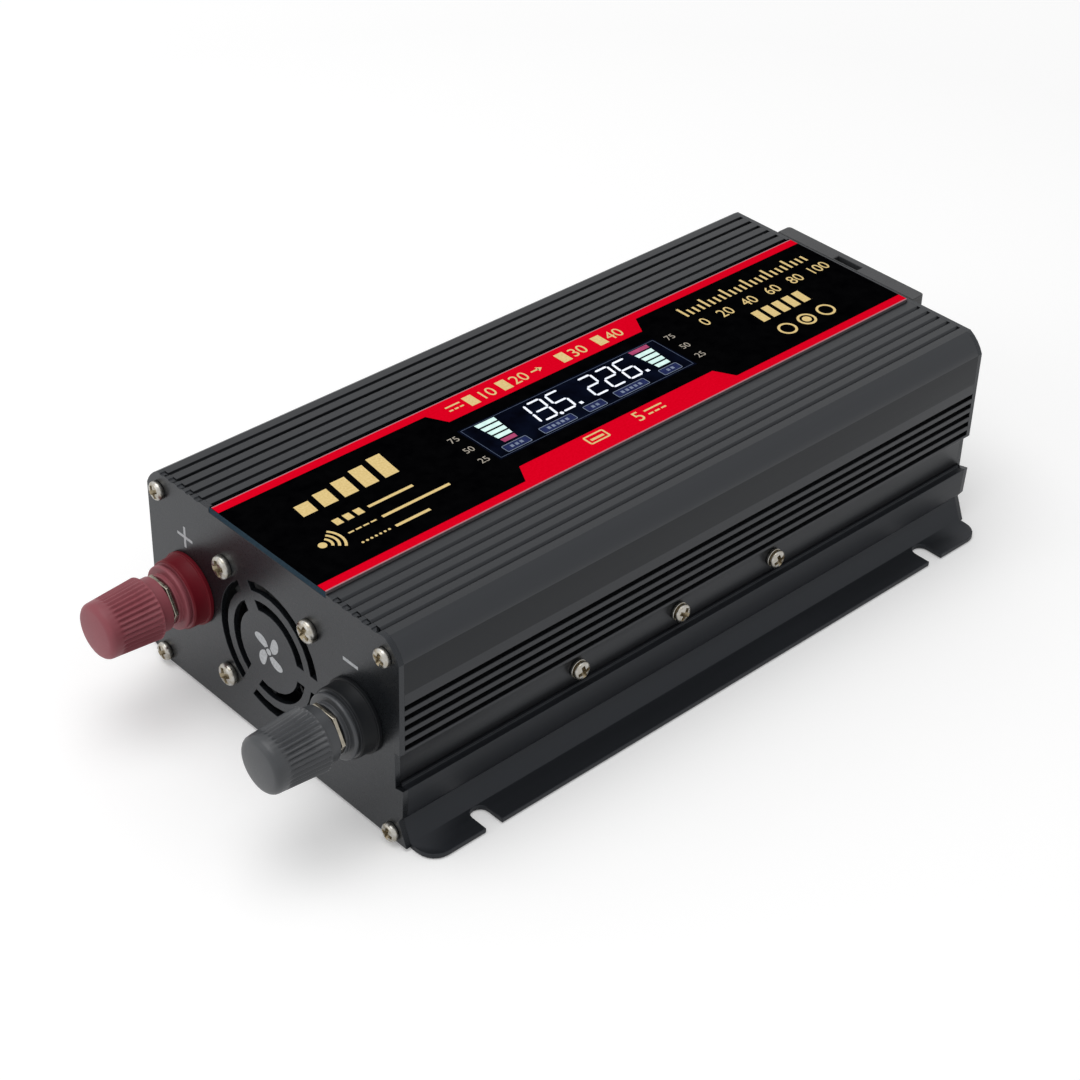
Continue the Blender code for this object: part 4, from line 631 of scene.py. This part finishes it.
# Print. Each sheet is drawn in mm on its own plane: u to the right, v up, w out of the surface.
class Sheet:
    """Flat shapes of one ink on one surface, gathered into one thin piece."""

    def __init__(self, low=0.0):
        self.form = bmesh.new()
        self.low = low * MM

    def heights(self):
        """Where the ink starts, a little inside what carries it, and where it ends."""
        return self.low - PRINT_THICKNESS / 3, self.low + PRINT_THICKNESS

    def patch(self, outline):
        """A filled outline."""
        loft([[(u * MM, v * MM, w) for u, v in outline] for w in self.heights()], form=self.form)

    def band(self, outer, inner):
        """A closed line between two outlines of as many points."""
        low, high = self.heights()
        rings = [(outer, low), (outer, high), (inner, high), (inner, low)]
        loft([[(u * MM, v * MM, w) for u, v in line] for line, w in rings], looped=True, form=self.form)

    def bar(self, u, v, width, height, lean=0.0):
        """A box with its lower left corner at u, v, leaning to the right by lean at its top."""
        self.patch([(u, v), (u + width, v), (u + width + lean, v + height), (u + lean, v + height)])

    def disc(self, u, v, radius):
        self.patch(arc((u, v), radius, 0, 2 * math.pi, 28)[:-1])

    def ring(self, u, v, radius, stroke):
        full = 2 * math.pi
        self.band(arc((u, v), radius, 0, full, 32)[:-1], arc((u, v), radius - stroke, 0, full, 32)[:-1])

    def sweep(self, u, v, radius, stroke, start, end):
        """Part of a ring, its angles in degrees."""
        a, b = math.radians(start), math.radians(end)
        self.patch(arc((u, v), radius, a, b, 14) + arc((u, v), radius - stroke, b, a, 14))

    def framed(self, u, v, width, height, corner, stroke):
        """Outline of a rounded box."""
        outer = rounded_box(u, v, width, height, corner)
        inner = rounded_box(u + stroke, v + stroke, width - 2 * stroke, height - 2 * stroke,
                            max(corner - stroke, 0.05))
        self.band(outer, inner)

    def number(self, words, u, v, height, width=1.0, align='LEFT'):
        """Plain numerals with their foot at v."""
        curve = bpy.data.curves.new('numerals', 'FONT')
        curve.body = words
        curve.align_x = align
        curve.size = height / NUMERAL_HEIGHT * MM
        item = bpy.data.objects.new('numerals', curve)
        bpy.context.scene.collection.objects.link(item)
        bpy.context.view_layer.update()
        graph = bpy.context.evaluated_depsgraph_get()
        flat = bpy.data.meshes.new_from_object(item.evaluated_get(graph))
        bpy.data.objects.remove(item)
        low, high = self.heights()
        part = bmesh.new()
        part.from_mesh(flat)
        bmesh.ops.remove_doubles(part, verts=part.verts, dist=0.001 * MM)
        bmesh.ops.solidify(part, geom=part.faces[:] + part.edges[:] + part.verts[:], thickness=high - low)
        place = Matrix.Translation((u * MM, v * MM, low)) @ Matrix.Diagonal((width, 1, 1, 1))
        bottom = min(vert.co.z for vert in part.verts)
        for vert in part.verts:
            vert.co.z -= bottom
        bmesh.ops.transform(part, matrix=place, verts=part.verts)
        solid = bpy.data.meshes.new('numerals')
        part.to_mesh(solid)
        part.free()
        self.form.from_mesh(solid)

    def show(self, name, finish, matrix, slot='label_print'):
        show(name, self.form, finish, matrix=matrix)


def rounded_box(u, v, width, height, corner):
    points = []
    centres = ((u + corner, v + corner), (u + width - corner, v + corner),
               (u + width - corner, v + height - corner), (u + corner, v + height - corner))
    for quarter, centre in enumerate(centres):
        start = math.pi + quarter * math.pi / 2
        points += arc(centre, corner, start, start + math.pi / 2, 4)
    return points


def on_label():
    """Plane of the label's face: u from its front end along the housing, v across it."""
    return Matrix.Translation((LABEL_LOW.x, 0, LABEL_HIGH.z))


def on_front():
    """Plane of the front plate's outer face, as one looks at it: u to the right, v up from the underside."""
    turned = Matrix(((0, 0, -1, 0), (-1, 0, 0, 0), (0, 1, 0, 0), (0, 0, 0, 1)))
    return Matrix.Translation((PLATE_LOW.x, 0, 0)) @ turned


# How far the red print lies off the label's middle, in mm
PRINT_SHIFT = 0.35


def label_print():
    """Red borders that widen beside the display, and gold and cream marks of a plain level scale."""
    length = (LABEL_HIGH.x - LABEL_LOW.x) / MM
    edge, border, step, inset = 20.8, 18.2, 12.65, 0.15
    # The pale margin is narrow along the far side; along the near one it reaches to the label's edge and
    # stands partly for print, partly for a painted highlight on that edge
    margins = {1: 0.3, -1: (SEAM - LABEL_LOW.y) / MM - edge - PRINT_SHIFT - 0.01}
    red, margin = Sheet(), Sheet()
    for side in (1, -1):
        line = [(inset, edge), (inset, border), (62.5, border), (65.5, step), (131.5, step), (134.6, border)]
        line += [(length - inset, border), (length - inset, edge)]
        red.patch([(u, side * v - PRINT_SHIFT) for u, v in line])
        inner = side * edge - PRINT_SHIFT
        outer = inner + side * margins[side]
        margin.bar(inset, min(inner, outer), length - 2 * inset, margins[side])
    red.show('label_red_borders', 'red_ink', on_label())
    margin.show('label_margins_and_edge_highlight', 'margin', on_label())
    gold = Sheet()
    # Rising blocks, three rows of marks with a line each, and waves from a dot
    for i in range(5):
        gold.bar(14.0 + 6.1 * i, 3.9, 4.2, 4.6 + 1.1 * i, lean=0.5 + 0.16 * i)
    for i in range(3):
        gold.bar(17.8 + 3.1 * i, -3.7, 2.0, 2.4)
    for i in range(4):
        gold.bar(17.8 + 2.2 * i, -7.9, 1.6, 0.5)
    for i in range(7):
        gold.disc(18.1 + 1.3 * i, -12.5, 0.36)
    for v, reach in ((-2.5, 13.5), (-7.65, 20.5), (-12.5, 10.3)):
        gold.bar(27.8, v - 0.45, reach, 0.9)
    wave_u, wave_v = 10.4, -7.5
    gold.disc(wave_u, wave_v, 1.1)
    for radius in (2.7, 4.2, 5.7):
        gold.sweep(wave_u, wave_v, radius, 0.7, -42, 42)
    # A ruler from 0 to 100, a row of blocks and three rings
    for i in range(24):
        tall = 4.6 if i % 4 == 0 else 2.8
        gold.bar(145.8 + 2.0 * i, 9.7, 0.75, tall)
    for i in range(6):
        gold.number(str(20 * i), 146.2 + 9.0 * i, 3.4, 3.6, 0.95, 'CENTER' if i else 'LEFT')
    for i in range(5):
        gold.bar(159.2 + 3.9 * i, -5.0, 2.6, 5.4, lean=0.5)
    for i in range(3):
        gold.ring(161.5 + 7.4 * i, -11.2, 2.7, 0.7)
    gold.disc(168.9, -11.2, 1.3)
    gold.show('label_gold_marks', 'gold_ink', on_label())
    # On the red print: numbered blocks and an arrow, a socket sign, and two signs of direct current
    pale = Sheet(low=PRINT_THICKNESS / MM)
    for u in (74.5, 85.4, 105.6, 118.4):
        pale.bar(u, 14.0, 2.95, 4.4)
    pale.bar(96.0, 15.9, 2.6, 0.55)
    pale.patch([(98.2, 15.1), (99.7, 16.17), (98.2, 17.25)])
    for u, words in ((78.3, '10'), (89.2, '20'), (109.4, '30'), (122.2, '40')):
        pale.number(words, u, 14.3, 3.7)
    pale.bar(68.6, 17.2, 4.6, 0.55)
    for i in range(3):
        pale.bar(68.6 + 1.7 * i, 15.5, 1.2, 0.55)
    pale.framed(85.0, -17.6, 6.6, 3.6, 0.6, 0.5)
    pale.bar(86.2, -16.4, 4.2, 0.8)
    pale.number('5', 101.0, -17.8, 3.9)
    pale.bar(105.0, -15.4, 6.0, 0.55)
    for i in range(3):
        pale.bar(105.0 + 2.2 * i, -17.1, 1.6, 0.55)
    pale.show('label_pale_marks', 'gold_ink', on_label())
    cream = Sheet()
    for v, words in ((4.6, '75'), (-0.9, '50'), (-6.4, '25')):
        cream.number(words, 62.6, v, 2.1, align='RIGHT')
        cream.number(words, 133.4, v, 2.1)
    cream.show('label_scale_numbers', 'cream_ink', on_label())


# Seven-segment numerals, from a to g: top, upper right, lower right, foot, lower left, upper left, middle
SEGMENTS = {'1': 'bc', '2': 'abged', '3': 'abgcd', '5': 'afgcd', '6': 'afgedc'}


def numeral(sheet, digit, u, v, width, height, stroke, lean):
    """One leaning numeral, its segments mitred and parted by small gaps."""
    gap, half = 0.12, stroke / 2
    middle, top = height / 2, height
    ends = {'a': ((0, top), (width, top)), 'b': ((width, top), (width, middle)),
            'c': ((width, middle), (width, 0)), 'd': ((0, 0), (width, 0)), 'e': ((0, middle), (0, 0)),
            'f': ((0, top), (0, middle)), 'g': ((0, middle), (width, middle))}
    for key in SEGMENTS[digit]:
        (x0, y0), (x1, y1) = ends[key]
        run = math.hypot(x1 - x0, y1 - y0)
        dx, dy = (x1 - x0) / run, (y1 - y0) / run
        line = [(gap, 0), (half + gap, half), (run - half - gap, half), (run - gap, 0),
                (run - half - gap, -half), (half + gap, -half)]
        points = [(x0 + dx * s - dy * t, y0 + dy * s + dx * t) for s, t in line]
        sheet.patch([(u + x + lean * y / height, v + y) for x, y in points])


def display():
    """What the display shows: two readings, two tapered level gauges, their tags and the frame line."""
    matrix = Matrix.Translation((LABEL_LOW.x, 0, LENS_HIGH.z))
    left, right = (LENS_LOW.x - LABEL_LOW.x) / MM, (LENS_HIGH.x - LABEL_LOW.x) / MM
    low, high = LENS_LOW.y / MM, LENS_HIGH.y / MM
    line = Sheet()
    line.framed(left + 0.3, low + 0.3, right - left - 0.6, high - low - 0.6, 0.2, 0.15)
    line.show('display_frame_line', 'frame_segment', matrix, slot='clear_lens')
    white = Sheet()
    foot, digit_width, digit_height, stroke, lean = -2.3, 4.2, 8.2, 0.68, 1.1
    for digit, u in (('1', 78.6), ('3', 83.9), ('5', 90.0), ('2', 101.2), ('2', 107.2), ('6', 113.2)):
        numeral(white, digit, u, foot, digit_width, digit_height, stroke, lean)
    white.disc(89.2, -2.5, 0.55)
    for u in (95.6, 118.7):
        white.bar(u, -2.7, 1.0, 1.0)
    white.show('display_readings', 'white_segment', matrix, slot='clear_lens')
    mint, pink = Sheet(), Sheet()
    for centre, pink_bar in ((72.0, 4), (124.4, 0)):
        for i in range(5):
            top = 7.0 - 2.12 * i
            half_top, half_foot = 3.2 - 0.24 * i, 3.05 - 0.24 * i
            sheet = pink if i == pink_bar else mint
            sheet.patch([(centre - half_foot, top - 1.5), (centre + half_foot, top - 1.5),
                         (centre + half_top, top), (centre - half_top, top)])
    mint.show('display_gauge_bars', 'mint_segment', matrix, slot='clear_lens')
    pink.show('display_gauge_ends', 'pink_segment', matrix, slot='clear_lens')
    blue, pale, marked = Sheet(), Sheet(), Sheet(low=PRINT_THICKNESS / MM)
    for u, width in ((67.7, 8.0), (79.8, 11.0), (94.6, 6.4), (104.9, 10.8), (120.9, 6.4)):
        pale.framed(u, -6.8, width, 2.9, 0.5, 0.2)
        blue.patch(rounded_box(u + 0.32, -6.48, width - 0.64, 2.26, 0.3))
        marks = int((width - 2.4) / 1.5)
        for i in range(marks):
            marked.bar(u + width / 2 + (i - marks / 2) * 1.5 + 0.3, -5.85, 0.9, 1.0)
    blue.show('display_tags', 'blue_segment', matrix, slot='clear_lens')
    pale.show('display_tag_lines', 'line_segment', matrix, slot='clear_lens')
    marked.show('display_tag_marks', 'line_segment', matrix, slot='clear_lens')


def front_marks():
    """Pale grey marks on the front plate: polarity beside each post and a small fan sign on the grille."""
    grey = Sheet()
    red_low, red_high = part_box('red_terminal_base')
    black_low, black_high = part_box('black_terminal_base')
    plus_u, plus_v = -(red_low.y + red_high.y) / 2 / MM - 0.9, 44.1
    minus_u, minus_v = -(black_low.y + black_high.y) / 2 / MM - 1.5, 43.65
    grey.bar(plus_u - 3.0, plus_v - 0.4, 6.0, 0.8)
    grey.bar(plus_u - 0.4, plus_v + 0.4, 0.8, 2.6)
    grey.bar(plus_u - 0.4, plus_v - 3.0, 0.8, 2.6)
    grey.bar(minus_u - 2.65, minus_v - 0.45, 5.3, 0.9)
    fan_low, fan_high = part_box('fan_frame')
    u, v = -(fan_low.y + fan_high.y) / 2 / MM, (fan_low.z + fan_high.z) / 2 / MM
    for i in range(4):
        petal = []
        for step in range(25):
            reach = 1.5 + 4.3 * math.sin(math.pi * step / 24) ** 0.7
            angle = math.radians(90 * i + 60 * step / 24 + 5 * reach)
            petal.append((u + reach * math.cos(angle), v + reach * math.sin(angle)))
        grey.patch(petal)
    grey.disc(u, v, 0.9)
    grey.show('front_plate_marks', 'grey_ink', on_front(), slot='black_anodised')


# Studio
def seen_directly(tree):
    """1 for what the camera sees itself, in metal or through glass, and 0 for light that falls on things."""
    path = add(tree, 'ShaderNodeLightPath').outputs
    seen = path['Is Camera Ray']
    for ray in ('Is Glossy Ray', 'Is Transmission Ray'):
        seen = add(tree, 'ShaderNodeMath', {0: seen, 1: path[ray]}, operation='MAXIMUM').outputs[0]
    return seen


def studio():
    """Pale floor, white surroundings, a broad lamp from the far left and a soft one overhead."""
    form = bmesh.new()
    bmesh.ops.create_grid(form, x_segments=1, y_segments=1, size=10.0)
    floor = bpy.data.objects.new('studio_floor', mesh_of('studio_floor', form))
    floor.location.z = -0.3 * MM
    bpy.context.scene.collection.objects.link(floor)
    floor.data.materials.append(paper_floor())
    world = bpy.data.worlds.new('white_room')
    bpy.context.scene.world = world
    world.use_nodes = True
    tree = world.node_tree
    level = add(tree, 'ShaderNodeMapRange', {'Value': seen_directly(tree), 'To Min': 0.5, 'To Max': 1.0})
    tree.links.new(level.outputs[0], tree.nodes['Background'].inputs['Strength'])
    tree.nodes['Background'].inputs['Color'].default_value = colour('#ffffff')
    lamp('left_softbox', (-1.0, 0.35, 0.5), (0, 0, 0.03), 0.7, 1.5)
    lamp('overhead_softbox', (-0.2, 0.1, 1.1), (0, 0, 0), 0.9, 6.0)


def paper_floor():
    """White paper: dull, and lit up towards its far edge, so that it runs into the white surroundings."""
    finish, tree, _ = new_finish('white_paper_floor', Roughness=0.9, Specular_IOR_Level=0.0,
                                 Base_Color=colour('#f4f4f4'), Emission_Color=colour('#ffffff'))
    place = add(tree, 'ShaderNodeTexCoord').outputs['Object']
    reach = add(tree, 'ShaderNodeVectorMath', {0: place}, operation='LENGTH').outputs['Value']
    # 0.35 m from the middle the paper glows by 0.2, and from 1.5 m on by 0.6
    lit_up = add(tree, 'ShaderNodeMapRange', {'Value': reach, 'From Min': 0.35, 'From Max': 1.5,
                                              'To Min': 0.2, 'To Max': 0.6}).outputs[0]
    glow = add(tree, 'ShaderNodeMapRange', {'Value': seen_directly(tree), 'To Min': 0.1, 'To Max': lit_up})
    tree.links.new(glow.outputs[0], tree.nodes['Principled BSDF'].inputs['Emission Strength'])
    return finish


def lamp(name, place, aim, size, power):
    """Square soft lamp that faces a point, in metres and watts."""
    light = bpy.data.lights.new(name, 'AREA')
    light.size = size
    light.energy = power
    item = bpy.data.objects.new(name, light)
    item.location = place
    item.rotation_euler = (Vector(aim) - Vector(place)).to_track_quat('-Z', 'Y').to_euler()
    bpy.context.scene.collection.objects.link(item)


def camera():
    """Camera where the photograph's perspective puts it."""
    lens = bpy.data.cameras.new('camera')
    lens.lens = CAMERA_LENS
    lens.sensor_width = 36.0
    item = bpy.data.objects.new('camera', lens)
    look = Vector(CAMERA_DIRECTION).to_track_quat('-Z', 'Y').to_matrix().to_4x4()
    place = Matrix.Translation(Vector(CAMERA_PLACE) * MM)
    item.matrix_world = place @ look @ Matrix.Rotation(math.radians(CAMERA_ROLL), 4, 'Z')
    bpy.context.scene.collection.objects.link(item)
    bpy.context.scene.camera = item


bpy.context.scene.view_settings.view_transform = 'Standard'
housing()
screws()
binding_posts()
label_print()
display()
front_marks()
studio()
camera()
